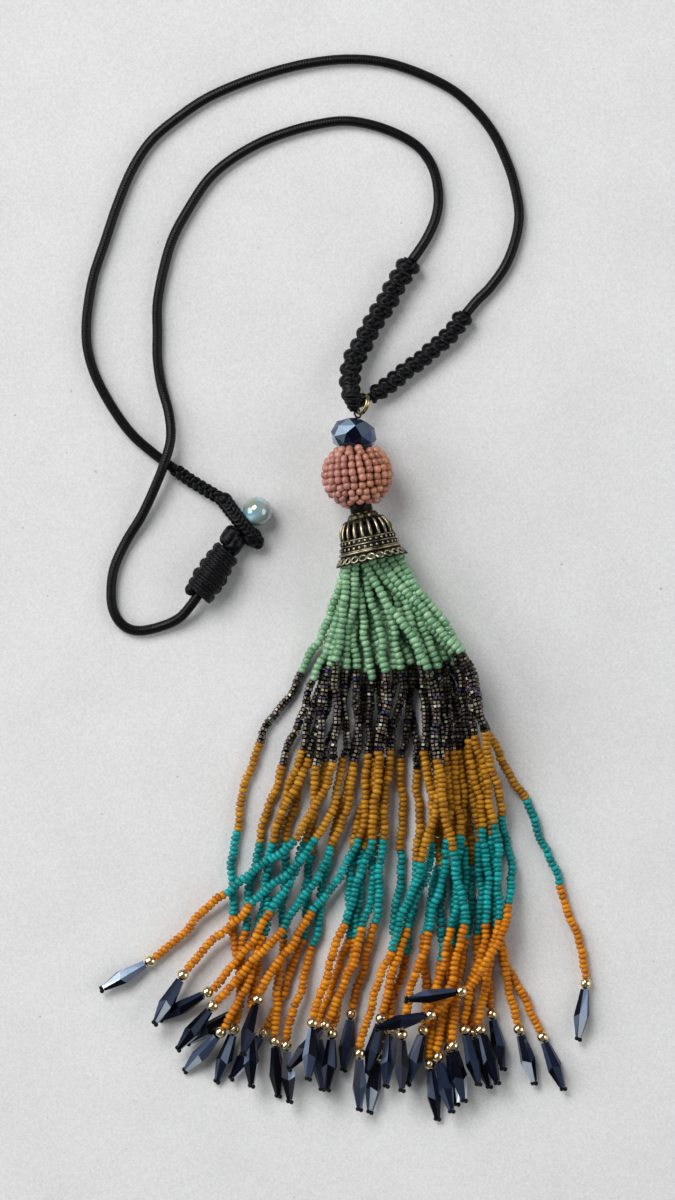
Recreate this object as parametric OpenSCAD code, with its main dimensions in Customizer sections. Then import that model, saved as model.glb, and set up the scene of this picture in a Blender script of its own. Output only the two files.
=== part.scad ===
/* [Cord] */
// Diameter of the waxed cord
cord_d = 2.6; // [2:0.1:3]

/* [Knotted sleeves] */
// Width of the left knotted sleeve
left_sleeve_w = 5.6; // [5:0.1:6.2]
// Width of the right knotted sleeve
right_sleeve_w = 4.7; // [4.2:0.1:5.4]
// Length of one knot along the left sleeve
left_knot_l = 3.5; // [3:0.1:4.2]
// Length of one knot along the right sleeve
right_knot_l = 3; // [2.6:0.1:3.8]
// How far each knot stands out of its sleeve, to the left and right in turn
knot_bulge = 0.4; // [0.2:0.05:0.6]

/* [Button clasp] */
// Width of the braided sleeve at the loop end of the cord
braid_w = 3.6; // [3:0.1:4.2]
// Diameter of the cord in the button loop
loop_cord_d = 2.5; // [2:0.1:2.6]
// Diameter of the round button bead
button_d = 7.6; // [6.6:0.1:8.6]
// Diameter of the hole drilled through the button bead
button_bore = 1.9; // [1.7:0.1:2.4]
// Diameter of the twisted shank that carries the button bead
shank_d = 1.5; // [1.2:0.1:1.6]
// Diameter of the lump knotted in the shank
lump_d = 4.8; // [4:0.1:5.4]
// Outer diameter of the wrapped barrel knot
barrel_d = 7.8; // [6.8:0.1:8.4]
// Length of the wrapped barrel knot
barrel_l = 13; // [10:0.5:15]
// Turns of cord round the barrel knot
barrel_turns = 12; // [9:1:14]

/* [Ring and wire] */
// Outer diameter of the double jump ring
ring_d = 5.9; // [5.7:0.1:6.6]
// Thickness of the ring's wire
ring_wire = 0.75; // [0.6:0.05:0.85]
// Thickness of the pin that threads the ball and the crystal
pin_d = 0.8; // [0.6:0.1:1]
// Thickness of the wire loop that hangs from the ring
eye_wire = 0.5; // [0.4:0.05:0.6]
// Room left round every thread and pin in its hole
bore_gap = 0.15; // [0.1:0.05:0.3]

/* [Crystal and ball] */
// Diameter of the faceted crystal
crystal_d = 12; // [11:0.5:13]
// Height of the faceted crystal along its hole
crystal_h = 7.4; // [6.8:0.2:8.2]
// Facets round the crystal in each row
crystal_sides = 8; // [6:1:12]
// Diameter of the beaded ball
ball_d = 19; // [18:0.5:20]
// Height of the beaded ball along its hole
ball_h = 18.2; // [17.6:0.2:19]
// Meridian columns of beads round the ball
ball_columns = 26; // [22:1:30]

/* [Cap] */
// Diameter of the cap at its crown
crown_d = 11.3; // [10.6:0.1:12]
// Diameter of the cap at its shoulder
shoulder_d = 13.8; // [13.2:0.1:14.6]
// Diameter of the cap at its raised rim line
rim_d = 16; // [15.4:0.1:16.6]
// Diameter of the scalloped mouth of the cap
mouth_d = 19.2; // [18.4:0.1:20]
// Length of the cap from crown to mouth
cap_h = 11.4; // [11:0.2:12.4]
// Thickness of the cap's metal
cap_wall = 0.7; // [0.6:0.05:0.9]
// Open ribs round the crown
rib_count = 20; // [16:1:22]
// Width of each slot between two ribs
slot_w = 0.9; // [0.7:0.05:1]
// Granules in each of the two rows round the cap
granule_count = 30; // [24:1:34]
// Diameter of one granule
granule_d = 0.9; // [0.7:0.05:1.1]
// Scallops round the mouth
scallop_count = 24; // [20:1:26]

/* [Collar] */
// Diameter of the flower collar between the ball and the cap
collar_d = 8.2; // [7.4:0.1:9]
// Petals of the flower collar
petal_count = 8; // [6:1:10]

/* [Tassel] */
// Diameter of the seed beads in a strand
strand_d = 2.1; // [1.8:0.05:2.2]
// Diameter of the thread inside the strands
thread_d = 0.4; // [0.3:0.05:0.5]
// Diameter of the knot at the tip of a strand
tip_knot_d = 1; // [0.8:0.05:1.2]
// Diameter of the gold bead above each drop
gold_d = 3; // [2.6:0.1:3.2]
// Length of one faceted drop
drop_l = 12.5; // [11.5:0.5:13.5]
// Width of one faceted drop at its widest
drop_d = 4; // [3.4:0.1:4.2]
// Sides of one faceted drop
drop_sides = 6; // [6:1:8]
// Room left between a strand and the one it lies on
strand_gap = 0.2; // [0.12:0.02:0.3]

/* [Hidden] */
// Centre lines, in millimetres: X to the right, Y to the top of the necklace, Z up from the surface
CORD_R = cord_d / 2;
OVER = 4.1;  // height of the inner cord where it crosses the outer one

// Places and headings of the clasp's pieces
BUTTON = [-23.5, 63, button_d / 2];
BUTTON_HEADING = 51;
BARREL = [-35, 47.2, barrel_d / 2];
BARREL_HEADING = 56.5;
BARREL_HEAD = BARREL + barrel_l / 2 * heading(BARREL_HEADING);
BARREL_FOOT = BARREL - barrel_l / 2 * heading(BARREL_HEADING);
TAIL_ASIDE = 0.34;                // where the cord's cut end leaves the barrel, as shares of its size
TAIL_ALONG = 0.1;
CUT_END_L = 0.9 * cord_d;
CUT_END_R = 0.45 * cord_d;
BARREL_TAIL = BARREL_FOOT + TAIL_ASIDE * barrel_d * heading(BARREL_HEADING + 90)
    + TAIL_ALONG * barrel_l * heading(BARREL_HEADING);
LUMP = [-29.9, 55.8, 3.7];
SHANK_FROM = 0.72;                // how far the shank's straight end runs below and above the bead's centre,
SHANK_TO = 0.35;                  // as shares of the bead's diameter

// The outer run of cord, from the right sleeve round the top to the braided sleeve
OUTER_ROUTE = [
    [30.5, 114.2, 2], [33.7, 118, 1.6], [37, 121.3, CORD_R], [41, 127, CORD_R],
    [43.5, 133.5, CORD_R], [44.5, 140, CORD_R], [43.5, 147, CORD_R], [41.5, 153.5, CORD_R],
    [38, 161, CORD_R], [33, 167.5, CORD_R], [26.5, 173, CORD_R],
    [17, 177.5, CORD_R], [8, 180, CORD_R], [-1, 180.5, CORD_R], [-10, 179.5, CORD_R], [-18.5, 177.5, CORD_R],
    [-27.5, 174.5, CORD_R], [-36.5, 170.5, CORD_R], [-44, 165.5, CORD_R], [-51, 159.5, CORD_R],
    [-56, 152, CORD_R], [-60, 142.5, CORD_R], [-63, 133.5, CORD_R], [-66, 124.5, CORD_R],
    [-67.5, 116.5, CORD_R], [-68, 110, CORD_R], [-67.5, 104.5, CORD_R], [-65.5, 98, CORD_R],
    [-61.5, 90.5, CORD_R], [-56.5, 83.5, CORD_R], [-51, 78.5, CORD_R], [-45, 74, CORD_R]
];
// The inner run of cord, from the left sleeve round the inside and over the outer run to the barrel knot
INNER_ROUTE = [
    [16.5, 128, 2.2], [20.5, 134, 1.6], [23, 140, CORD_R], [23.5, 146, CORD_R], [22, 152.5, CORD_R],
    [18.5, 157.5, CORD_R], [13, 161, CORD_R], [6, 163.5, CORD_R], [-1, 164.5, CORD_R], [-8.5, 163.5, CORD_R],
    [-16, 161.5, CORD_R], [-23.5, 158.5, CORD_R], [-31, 154, CORD_R], [-36.5, 149, CORD_R],
    [-41.5, 141.5, CORD_R], [-45.5, 134, CORD_R], [-48, 125.5, CORD_R], [-49.5, 117, CORD_R],
    [-49.5, 110, CORD_R], [-49.5, 103, CORD_R], [-48.5, 96, CORD_R], [-46.5, 88.5, 2.4], [-46, 82, 3.6],
    [-47.5, 76, OVER], [-50, 69.5, 3.5], [-53.5, 62, 2.3], [-57.5, 55.5, CORD_R], [-60.5, 49, CORD_R],
    [-61.5, 43, CORD_R], [-61, 37.5, CORD_R], [-58.5, 33.5, CORD_R], [-54.5, 32, CORD_R],
    [-49, 33, CORD_R], [-44, 35.2, 2.2], [-40.8, 38.6, 3.6], BARREL_FOOT
];
// The left knotted sleeve, from the inner cord down to the ring
LEFT_ROUTE = [
    [16.5, 128, 2.2], [12.5, 122, 2.8], [10.5, 118, 2.8], [7.5, 113.5, 2.8], [5, 109, 2.9],
    [3, 105, 3.1], [1.2, 102, 3.6], [0.6, 98, 5], [0.6, 94.8, 6.4], [1.2, 92.2, 7]
];
// The right knotted sleeve, from the outer cord down to the ring
RIGHT_ROUTE = [
    [30.5, 114.2, 2], [26.5, 109, 2.5], [22.5, 105.5, 2.5], [18.5, 102, 2.5], [15.5, 100, 2.5],
    [12, 97, 2.5], [9, 94.8, 2.5], [6.6, 93.4, 2.5]
];
// The bare cord that runs through the ring between the two sleeves
RING_CORD_ROUTE = [
    [1.2, 92.2, 7], [1.8, 90.9, 6.9], [3, 90.8, 6.3], [4.1, 91.4, 5.1], [5.3, 92.5, 3.3], [6.6, 93.4, 2.5]
];
// The braided sleeve, from the outer cord to the button loop
BRAID_ROUTE = [[-45, 74, 1.8], [-41.5, 71.5, 1.8], [-38, 69.3, 1.8], [-34.8, 67.4, 2.1], [-32.4, 65.9, 2.6]];
// The button loop, out under the shank, round its end and back over the shank
LOOP_ROUTE = [
    [-32.2, 65.1, 1.5], [-29.8, 62.1, 1.3], [-27.4, 58.9, 1.3], [-25.4, 56.2, 1.4], [-23.9, 54.9, 2.2],
    [-23.2, 55, 3.6], [-24.2, 56.4, 4.9], [-26.6, 59.1, 5.9], [-28.9, 62.2, 5.6], [-31.4, 65.6, 4.1]
];
END_GAP = 0.3;                    // how far a cord or sleeve stops short of the piece it runs into
KNOT_SINK = 1.6;                  // how deep a sleeve is between two knots, in bulges of a knot
SLEEVE_END = 0.72;                // width of a sleeve at its ends, as a share of its full width
SLEEVE_TAPER = 0.12;              // how much of its full width a sleeve gains from one station to the next

// Each strand from the bottom of the heap to the top, where its colours change:
// [end of the mint, of the dark, of the mustard, of the teal, of the orange beads, way of the drop's tip]
STRANDS = [
    [[1, 22], [-6, -2], [-10, -26], [-12, -48], [-21, -71], [-28, -81]],
    [[-4, 22], [-11, -2], [-16, -23], [-17, -48], [-19, -73], [-18, -90]],
    [[5, 21], [1, -3], [-5, -27], [-9, -50], [-16, -74], [-15, -92]],
    [[8, 23], [7, -1], [1, -25], [0, -48], [-8, -71], [-7, -83]],
    [[9, 22], [10, -2], [4, -25], [2, -48], [-4, -71], [-5, -83]],
    [[15, 20], [18, -4], [18, -28], [15, -52], [8, -77], [6, -91]],
    [[17, 23], [22, 0], [24, -24], [20, -47], [20, -70], [16, -84]],
    [[20, 20], [21, -4], [24, -29], [24, -54], [21, -79], [23, -93]],
    [[22, 22], [26, -2], [28, -26], [27, -50], [26, -75], [28, -89]],
    [[26, 20], [29, -4], [32, -29], [30, -53], [23, -77], [27, -93]],
    [[27, 24], [31, 4], [34, -20], [36, -43], [37, -66], [40, -80]],
    [[24, 24], [30, 2], [34, -23], [34, -47], [32, -71], [36, -84]],
    [[28, 23], [33, 0], [38, -24], [39, -48], [50, -72], [56, -87]],
    [[28, 24], [33, 3], [37, -21], [39, -45], [44, -70], [48, -84]],
    [[16, 23], [14, -1], [14, -25], [12, -47], [11, -70], [10, -85]],
    [[-6, 24], [-12, 1], [-19, -22], [-23, -46], [-25, -70], [-25, -84]],
    [[-12, 21], [-23, 3], [-29, -20], [-30, -42], [-28, -66], [-40, -74]],
    [[-9, 19], [-17, -3], [-23, -23], [-27, -46], [-29, -70], [-33, -82]],
    [[-3, 21], [-10, -1], [-20, -23], [-22, -47], [-32, -71], [-42, -82]],
    [[-5, 23], [-8, -3], [-11, -23], [-20, -41], [-35, -61], [-47, -68]],
    [[12, 22], [8, -1], [7, -25], [4, -45], [-5, -69], [-14, -80]],
    [[25, 24], [29, 1], [30, -24], [30, -48], [27, -74], [30, -89]],
    [[24, 23], [27, 1], [29, -21], [27, -45], [20, -70], [16, -84]],
    [[23, 22], [25, 1], [26, -22], [21, -46], [14, -71], [14, -87]],
    [[19, 23], [20, 1], [22, -23], [15, -45], [9, -67], [6, -79]],
    [[21, 20], [24, -4], [19, -28], [11, -51], [3, -76], [3, -93]],
    [[14, 22], [11, 1], [9, -22], [7, -44], [1, -66], [-1, -81]],
    [[10, 21], [8, 1], [6, -22], [-1, -44], [-9, -68], [-10, -81]],
    [[6, 19], [5, 0], [3, -22], [-9, -41], [-23, -62], [-27, -77]],
    [[2, 22], [2, -2], [-4, -24], [-17, -45], [-34, -64], [-42, -74]],
    [[-1, 22], [-1, -1], [-8, -22], [-25, -39], [-42, -56], [-49, -68]],
    [[-3, 24], [-4, -2], [-14, -22], [-32, -36], [-50, -53], [-62, -60]],
    [[27, 26], [31, 4], [35, -19], [36, -44], [30, -70], [34, -86]],
    [[29, 27], [33, 5], [38, -18], [39, -43], [34, -70], [39, -86]],
    [[21, 22], [23, -1], [27, -25], [30, -44], [23, -67], [11, -70]],
    [[30, 26], [36, 6], [46, -12], [55, -34], [62, -58], [60, -73]],
    [[29, 26], [35, 6], [40, -16], [42, -39], [31, -61], [18, -63]]
];
STRAND_COUNT = len(STRANDS);
STRAND_R = strand_d / 2;
STRAND_SIDES = 5;
TUBE_R = 0.88 * STRAND_R;         // to the flats of a strand's sides; its corners just pass its beads
SECTION_STEPS = [3, 3, 2, 3, 3];  // stations along the mint, dark, mustard, teal and orange beads
TAIL_STEP = 1.4;                  // spacing of the stations along the gold bead and the drop
TAIL_SLOPE = 0.14;                // steepest rise of a drop that lies on other strands
TAIL_GAP = 0.1;                   // room between the gold bead and its neighbours on the thread
DROP_TOP = 0.55;                  // the drop's blunt upper end, as a share of its width
DROP_BELLY = 0.56;                // where the drop is widest, as a share of its length
DROP_FLATS = 0.93;                // the drop's width across its flat sides, as a share of its mean width
DROP_TOE = 0.4;                   // the drop's lower end, as a share of its width
TAIL_L = gold_d + drop_l + 3 * TAIL_GAP;
STRAND_END = 0.25;                // how far the last seed bead stops short of the straight end
THREAD_BORE = thread_d + 2 * bore_gap;
KNOT_BELLY = 0.45;                // where the tip knot is widest, as a share of its length
KNOT_TURN = 20;                   // turns its corners away from those of the thread

// Places and headings of the pendant's pieces as it lies, with the cap's mouth resting on the surface
BALL_CENTRE = [2.4, 72.4, ball_d / 2];
BALL_HEADING = -83;
CAP_HEADING = -78;
CAP_LIFT = (mouth_d - ball_d) / 2;  // how much higher the middle of the mouth lies than that of the ball
CRYSTAL_HEADING = -100;
CRYSTAL_TILT = 26;
CRYSTAL_NEST = 2.4;               // how deep the crystal sits in the top of the ball
COLLAR_H = 2;
COLLAR_NECK_D = 0.62 * collar_d;
COLLAR_NECK_H = 1.4;
COLLAR_FOOT_H = 1;
PETAL_D = 0.34 * collar_d;
SEAT_GAP = 0.1;                   // room between pieces that sit on one another
CAP_RISE = asin(CAP_LIFT / (COLLAR_H + SEAT_GAP + cap_h));
CAP_WAY = heading(CAP_HEADING, CAP_RISE);
CRYSTAL_TABLE_D = crystal_d * 0.53;
CRYSTAL_BEZEL_D = crystal_d * 0.89;
CRYSTAL_BEZEL = crystal_h * 0.3;
PIN_BORE = pin_d + 2 * bore_gap;
BALL_TOP = BALL_CENTRE - ball_h / 2 * heading(BALL_HEADING);
BALL_FOOT = BALL_CENTRE + ball_h / 2 * heading(BALL_HEADING);
CRYSTAL_CENTRE = BALL_TOP - (crystal_h / 2 - CRYSTAL_NEST) * heading(CRYSTAL_HEADING, CRYSTAL_TILT);
CRYSTAL_HEAD = CRYSTAL_CENTRE - crystal_h / 2 * heading(CRYSTAL_HEADING, CRYSTAL_TILT);
CROWN = BALL_FOOT + (COLLAR_H + SEAT_GAP) * CAP_WAY;
MOUTH = CROWN + cap_h * CAP_WAY;
MOUTH_SIDE = heading(CAP_HEADING + 90);

MOUTH_LAYERS = [3, 6, 7, 7, 7, 7];  // strands in each layer that fills the mouth of the cap, from the bottom
LAYER_RISE = 0.93 * strand_d;
MOUTH_FILL = 0.38125 * mouth_d;   // radius of the layers
HEAD_FROM = 0.19;                 // the tassel's head inside the cap, as shares of the cap's length
HEAD_TO = 0.38;
WAIST = 0.78;                     // where the cap is narrowest around the strands
HEAD_ROOT = 0.3;                  // where the strands start in the head
GATHER_ROOM = 2.58;               // from the outline of the crown and of the rim to the outermost strands
HEAD_GATHER = (crown_d / 2 - GATHER_ROOM) / MOUTH_FILL;
WAIST_GATHER = (rim_d / 2 - GATHER_ROOM) / MOUTH_FILL;
ROOT_R = 0.7 * STRAND_R;

RING_R = (ring_d - ring_wire) / 2;
COIL_STEP = 0.96 * ring_wire;     // the ring's two coils are pressed together
RING_TURN = -21.5;                // the way the raised side of the ring points, in the plane
RING_ROOM = 1.2;                  // room left round the cord in the ring
RING_RISE = 54;                   // how steeply the ring leans on the sleeve
EYE_L = 2.9;                      // from the crystal to the centre of the wire eye
EYE_R = 1.15;
EYE_JOIN = 0.3 * eye_wire;        // how deep the pin's neck runs into the eye's wire
EYE_TURN = 17;                    // the way the eye's hole points, so that the ring's wires run through it
EYE_RISE = 43;
PLATE_H = 0.4;                    // the plate under the eye, which lies on the crystal
PLATE_D = 2.4;
PIN_END = 1.6;                    // how far the pin reaches into the cap
EYE = CRYSTAL_HEAD - EYE_L * heading(CRYSTAL_HEADING, CRYSTAL_TILT);
RING_CENTRE = EYE + RING_R * heading(RING_TURN + 90);

function heading(turn, rise = 0) = [cos(turn) * cos(rise), sin(turn) * cos(rise), sin(rise)];
function unit(v) = v / norm(v);
function flat(p) = [p[0], p[1]];
function limited(v, low, high) = min(max(v, low), high);
function mean(v) = v * [for (each_one = v) 1] / len(v);

// A smooth curve through the points of a route, at one place between point i and the next
function curve_point(route, i, t) =
    let (last = len(route) - 1)
    let (a = route[max(i - 1, 0)], b = route[i], c = route[min(i + 1, last)], d = route[min(i + 2, last)])
    b + t * (c - a) / 2 + t * t * (a - 2.5 * b + 2 * c - d / 2) + t * t * t * (1.5 * (b - c) + (d - a) / 2);
function curve(route, steps) = concat(
    [for (i = [0:len(route) - 2], k = [0:steps - 1]) curve_point(route, i, k / steps)],
    [route[len(route) - 1]]);

// Lengths along a list of points, and points at even spacing along it
function lengths(points) =
    let (last = len(points) - 1)
    [for (i = 0, s = 0; i <= last; s = s + norm(points[min(i + 1, last)] - points[i]), i = i + 1) s];
function point_at(points, run, s) =
    [for (axis = [0:2]) lookup(s, [for (i = [0:len(points) - 1]) [run[i], points[i][axis]]])];
function evenly(points, count) =
    let (run = lengths(points))
    [for (i = [0:count]) point_at(points, run, run[len(run) - 1] * i / count)];

// Rings of a tube, each with one flat side down, and the tube swept through them
function tangent(path, i) = unit(path[min(i + 1, len(path) - 1)] - path[max(i - 1, 0)]);
function tube_ring(centre, along, r, sides) =
    let (side = unit(cross(along, [0, 0, 1])), up = cross(side, along), corner = r / cos(180 / sides))
    [for (k = [0:sides - 1])
        let (a = 360 * (k + 0.5) / sides - 90) centre + corner * (cos(a) * side + sin(a) * up)];
module tube(path, radii, sides) {
    last = len(path) - 1;
    points = [for (i = [0:last]) each tube_ring(path[i], tangent(path, i), radii[i], sides)];
    walls = [for (i = [0:last - 1], k = [0:sides - 1])
        let (a = i * sides + k, b = i * sides + (k + 1) % sides)
        each [[a, b, b + sides], [a, b + sides, a + sides]]];
    foot = [[for (k = [0:sides - 1]) sides - 1 - k]];
    head = [[for (k = [0:sides - 1]) last * sides + k]];
    polyhedron(points = points, faces = concat(walls, foot, head), convexity = 10);
}
module even_tube(path, r, sides) tube(path, [for (p = path) r], sides);
// A path drawn in at both ends, so that pieces in line with one another don't touch
function drawn_in(path) =
    let (last = len(path) - 1)
    [for (i = [0:last]) path[i]
        + (i == 0 ? END_GAP * tangent(path, 0) : i == last ? -END_GAP * tangent(path, last) : [0, 0, 0])];

// Puts a piece that is drawn along +X at a point, turned to a heading
module lay(point, turn, rise = 0) translate(point) rotate([0, -rise, turn]) children();
// The same for a piece that is drawn up the Z axis
module lay_upright(point, turn, rise = 0) lay(point, turn, rise) rotate([0, 90, 0]) children();

// A sleeve of knots: each knot swells and stands out to the left or the right in turn
module knotted_sleeve(route, width, knot_l) {
    smooth = curve(route, 4);
    run = lengths(smooth);
    knots = max(round(run[len(run) - 1] / knot_l), 2);
    steps = 3;
    count = knots * steps;
    path = drawn_in(evenly(smooth, count));
    swell = [for (i = [0:count]) abs(sin(180 * i / steps))];
    side = [for (i = [0:count]) floor(i / steps) % 2 == 0 ? 1 : -1];
    taper = [for (i = [0:count]) min(1, SLEEVE_END + SLEEVE_TAPER * min(i, count - i))];
    shifted = [for (i = [0:count])
        path[i] + side[i] * swell[i] * knot_bulge * unit(cross(tangent(path, i), [0, 0, 1]))];
    radii = [for (i = [0:count]) taper[i] * (width / 2 - knot_bulge * (KNOT_SINK - swell[i]))];
    tube(shifted, radii, 8);
}

module cord_outer() color("#15171b") even_tube(drawn_in(OUTER_ROUTE), CORD_R, 8);

module cord_inner() color("#15171b") even_tube(drawn_in(INNER_ROUTE), CORD_R, 8);

module sleeve_left() color("#1c1d21") knotted_sleeve(LEFT_ROUTE, left_sleeve_w, left_knot_l);

module sleeve_right() color("#1c1d21") knotted_sleeve(RIGHT_ROUTE, right_sleeve_w, right_knot_l);

module ring_cord() color("#15171b")
    even_tube(drawn_in(RING_CORD_ROUTE), RING_R - ring_wire / 2 - RING_ROOM, 8);

module braided_sleeve() color("#1c1d21")
    even_tube(drawn_in(curve(BRAID_ROUTE, 2)), braid_w / 2, 8);

module button_loop() color("#15171b") even_tube(curve(LOOP_ROUTE, 1), loop_cord_d / 2, 8);

module button_bead() color("#b8cdcd") lay_upright(BUTTON, BUTTON_HEADING) difference() {
    sphere(d = button_d, $fn = 48);
    cylinder(d = button_bore, h = button_d + 2, center = true, $fn = 24);
}

module button_shank() color("#15171b") {
    even_tube([
        BARREL_HEAD + END_GAP * heading(BARREL_HEADING), LUMP,
        BUTTON - SHANK_FROM * button_d * heading(BUTTON_HEADING),
        BUTTON + SHANK_TO * button_d * heading(BUTTON_HEADING)
    ], shank_d / 2, 8);
    translate(LUMP) sphere(d = lump_d, $fn = 32);
}

module barrel_knot() color("#17191d") {
    wrap = barrel_l / barrel_turns;
    lay_upright(BARREL, BARREL_HEADING) translate([0, 0, -barrel_l / 2]) rotate_extrude($fn = 48) {
        square([barrel_d / 2 - wrap / 2, barrel_l]);
        for (i = [0:barrel_turns - 1])
            translate([barrel_d / 2 - wrap / 2, (i + 0.5) * wrap]) circle(d = wrap, $fn = 24);
    }
    even_tube([BARREL_TAIL, BARREL_TAIL - CUT_END_L * heading(BARREL_HEADING)], CUT_END_R, 8);
}

module jump_ring() color("#d9b963") lay_upright(RING_CENTRE, RING_TURN, RING_RISE - 90)
    for (side = [-1, 1]) translate([0, 0, side * COIL_STEP / 2])
        rotate_extrude($fn = 48) translate([RING_R, 0]) circle(d = ring_wire, $fn = 20);

// The pin that threads the crystal, the ball and the crown of the cap, with its eye round the jump ring
module head_pin() color("#3d352a") {
    lay_upright(EYE, EYE_TURN, EYE_RISE)
        rotate_extrude($fn = 32) translate([EYE_R, 0]) circle(d = eye_wire, $fn = 16);
    lay_upright(CRYSTAL_HEAD, CRYSTAL_HEADING, CRYSTAL_TILT) translate([0, 0, -PLATE_H - SEAT_GAP])
        cylinder(d = PLATE_D, h = PLATE_H, $fn = 24);
    neck = EYE + (EYE_R + EYE_JOIN) * heading(CRYSTAL_HEADING, CRYSTAL_TILT);
    even_tube([neck, CRYSTAL_HEAD, BALL_TOP, BALL_FOOT, CROWN + PIN_END * CAP_WAY], pin_d / 2, 8);
}

// A stone cut in rows of facets, each row of corners turned by half a facet from the row before
module cut_stone(rows, sides) {
    last = len(rows) - 1;
    points = [for (i = [0:last], k = [0:sides - 1])
        let (a = 360 * (k + (i % 2) / 2) / sides) [rows[i][1] * cos(a), rows[i][1] * sin(a), rows[i][0]]];
    facets = [for (i = [0:last - 1], k = [0:sides - 1])
        let (a = i * sides + k, b = i * sides + (k + 1) % sides, c = a + sides, d = b + sides)
        each i % 2 == 0 ? [[a, b, c], [b, d, c]] : [[a, d, c], [a, b, d]]];
    table = [[for (k = [0:sides - 1]) last * sides + k]];
    culet = [[for (k = [0:sides - 1]) sides - 1 - k]];
    polyhedron(points = points, faces = concat(facets, table, culet), convexity = 4);
}

module crystal_bead() color("#27303f")
lay_upright(CRYSTAL_CENTRE, CRYSTAL_HEADING, CRYSTAL_TILT) difference() {
    cut_stone([
        [-crystal_h / 2, CRYSTAL_TABLE_D / 2], [-CRYSTAL_BEZEL, CRYSTAL_BEZEL_D / 2], [0, crystal_d / 2],
        [CRYSTAL_BEZEL, CRYSTAL_BEZEL_D / 2], [crystal_h / 2, CRYSTAL_TABLE_D / 2]
    ], crystal_sides);
    cylinder(d = PIN_BORE, h = crystal_h + 2, center = true, $fn = 24);
}

module beaded_ball() color("#b0705f") difference() {
    lay_upright(BALL_CENTRE, BALL_HEADING) rotate_extrude($fn = 2 * ball_columns)
        intersection() {
            scale([ball_d / ball_h, 1]) circle(d = ball_h, $fn = 64);
            translate([0, -ball_h]) square(2 * ball_h);
        }
    lay_upright(BALL_CENTRE, BALL_HEADING) cylinder(d = PIN_BORE, h = ball_h + 2, center = true, $fn = 24);
    lay_upright(CRYSTAL_CENTRE, CRYSTAL_HEADING, CRYSTAL_TILT) {
        cylinder(d = CRYSTAL_BEZEL_D + 4 * SEAT_GAP, h = CRYSTAL_BEZEL, $fn = 48);
        translate([0, 0, CRYSTAL_BEZEL])
            cylinder(d1 = CRYSTAL_BEZEL_D + 4 * SEAT_GAP, d2 = CRYSTAL_TABLE_D + 4 * SEAT_GAP,
                h = crystal_h / 2 - CRYSTAL_BEZEL + SEAT_GAP, $fn = 48);
    }
}

// A flower of petals spread on the crown of the cap, under a short neck that meets the ball
module collar() color("#4a3a26") lay_upright(CROWN, CAP_HEADING, CAP_RISE) difference() {
    union() {
        translate([0, 0, -COLLAR_H]) cylinder(d = COLLAR_NECK_D, h = COLLAR_NECK_H, $fn = 32);
        translate([0, 0, -COLLAR_FOOT_H]) cylinder(d = collar_d - PETAL_D, h = COLLAR_FOOT_H, $fn = 32);
        for (k = [1:petal_count]) rotate(360 * k / petal_count) intersection() {
            translate([(collar_d - PETAL_D) / 2, 0, 0]) sphere(d = PETAL_D, $fn = 24);
            translate([0, 0, -COLLAR_H]) cylinder(d = 2 * collar_d, h = COLLAR_H);
        }
    }
    cylinder(d = PIN_BORE, h = 3 * COLLAR_H, center = true, $fn = 24);
}

// Outline of the cap from crown to mouth, as [share of its length, diameter]
CAP_PROFILE = [
    [0, 0.76 * crown_d], [0.04, 0.92 * crown_d], [0.12, crown_d + 0.6], [0.25, shoulder_d - 0.5],
    [0.4, shoulder_d], [0.46, shoulder_d - 0.1], [0.72, rim_d - 0.7], [0.74, rim_d], [0.77, rim_d],
    [0.79, rim_d - 0.3], [1, mouth_d]
];
CAP_INSIDE = [
    [0.06, 0.76 * crown_d], [0.13, crown_d - 0.8], [0.26, shoulder_d - 1.9], [0.4, shoulder_d - 1.4],
    [0.73, rim_d - 2.2], [1, mouth_d - 2 * cap_wall]
];
SLOT_FROM = 0.1;                  // the ribs, granules and scallops, as shares of the cap's length
SLOT_TO = 0.43;
GRANULE_ROWS = [0.51, 0.65];
EYELET = 0.9;
EYELET_D = 0.44 * PI * mouth_d / scallop_count;
NOTCH_D = 1.1 * EYELET_D;          // the notch between two scallops, and how far past the mouth it centres
NOTCH_OUT = 0.3;
GRANULE_RISE = 0.3;               // how far a granule stands out of the wall
GRANULE_ROOT = 0.6 * cap_wall;
function cap_d(share) = lookup(share, CAP_PROFILE);

module cap() color("#8f7a45") lay_upright(CROWN, CAP_HEADING, CAP_RISE) difference() {
    union() {
        rotate_extrude($fn = 96) polygon(concat(
            [[PIN_BORE / 2, 0]], [for (p = CAP_PROFILE) [p[1] / 2, p[0] * cap_h]],
            [for (i = [len(CAP_INSIDE) - 1:-1:0]) [CAP_INSIDE[i][1] / 2, CAP_INSIDE[i][0] * cap_h]],
            [[PIN_BORE / 2, CAP_INSIDE[0][0] * cap_h]]));
        for (row = GRANULE_ROWS, k = [1:granule_count])
            rotate(360 * (k + row) / granule_count)
                translate([cap_d(row) / 2 - GRANULE_ROOT, 0, row * cap_h])
                    rotate([0, 90, 0]) cylinder(d = granule_d, h = GRANULE_ROOT + GRANULE_RISE, $fn = 16);
    }
    for (k = [1:rib_count]) rotate(360 * k / rib_count)
        translate([crown_d / 4, -slot_w / 2, SLOT_FROM * cap_h])
            cube([shoulder_d / 2, slot_w, (SLOT_TO - SLOT_FROM) * cap_h]);
    for (k = [1:scallop_count]) rotate(360 * k / scallop_count) {
        translate([crown_d / 2, 0, EYELET * cap_h])
            rotate([0, 90, 0]) cylinder(d = EYELET_D, h = mouth_d / 2, $fn = 16);
        rotate(180 / scallop_count) translate([crown_d / 2, 0, cap_h + NOTCH_OUT])
            rotate([0, 90, 0]) cylinder(d = NOTCH_D, h = mouth_d / 2, $fn = 16);
    }
}

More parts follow.
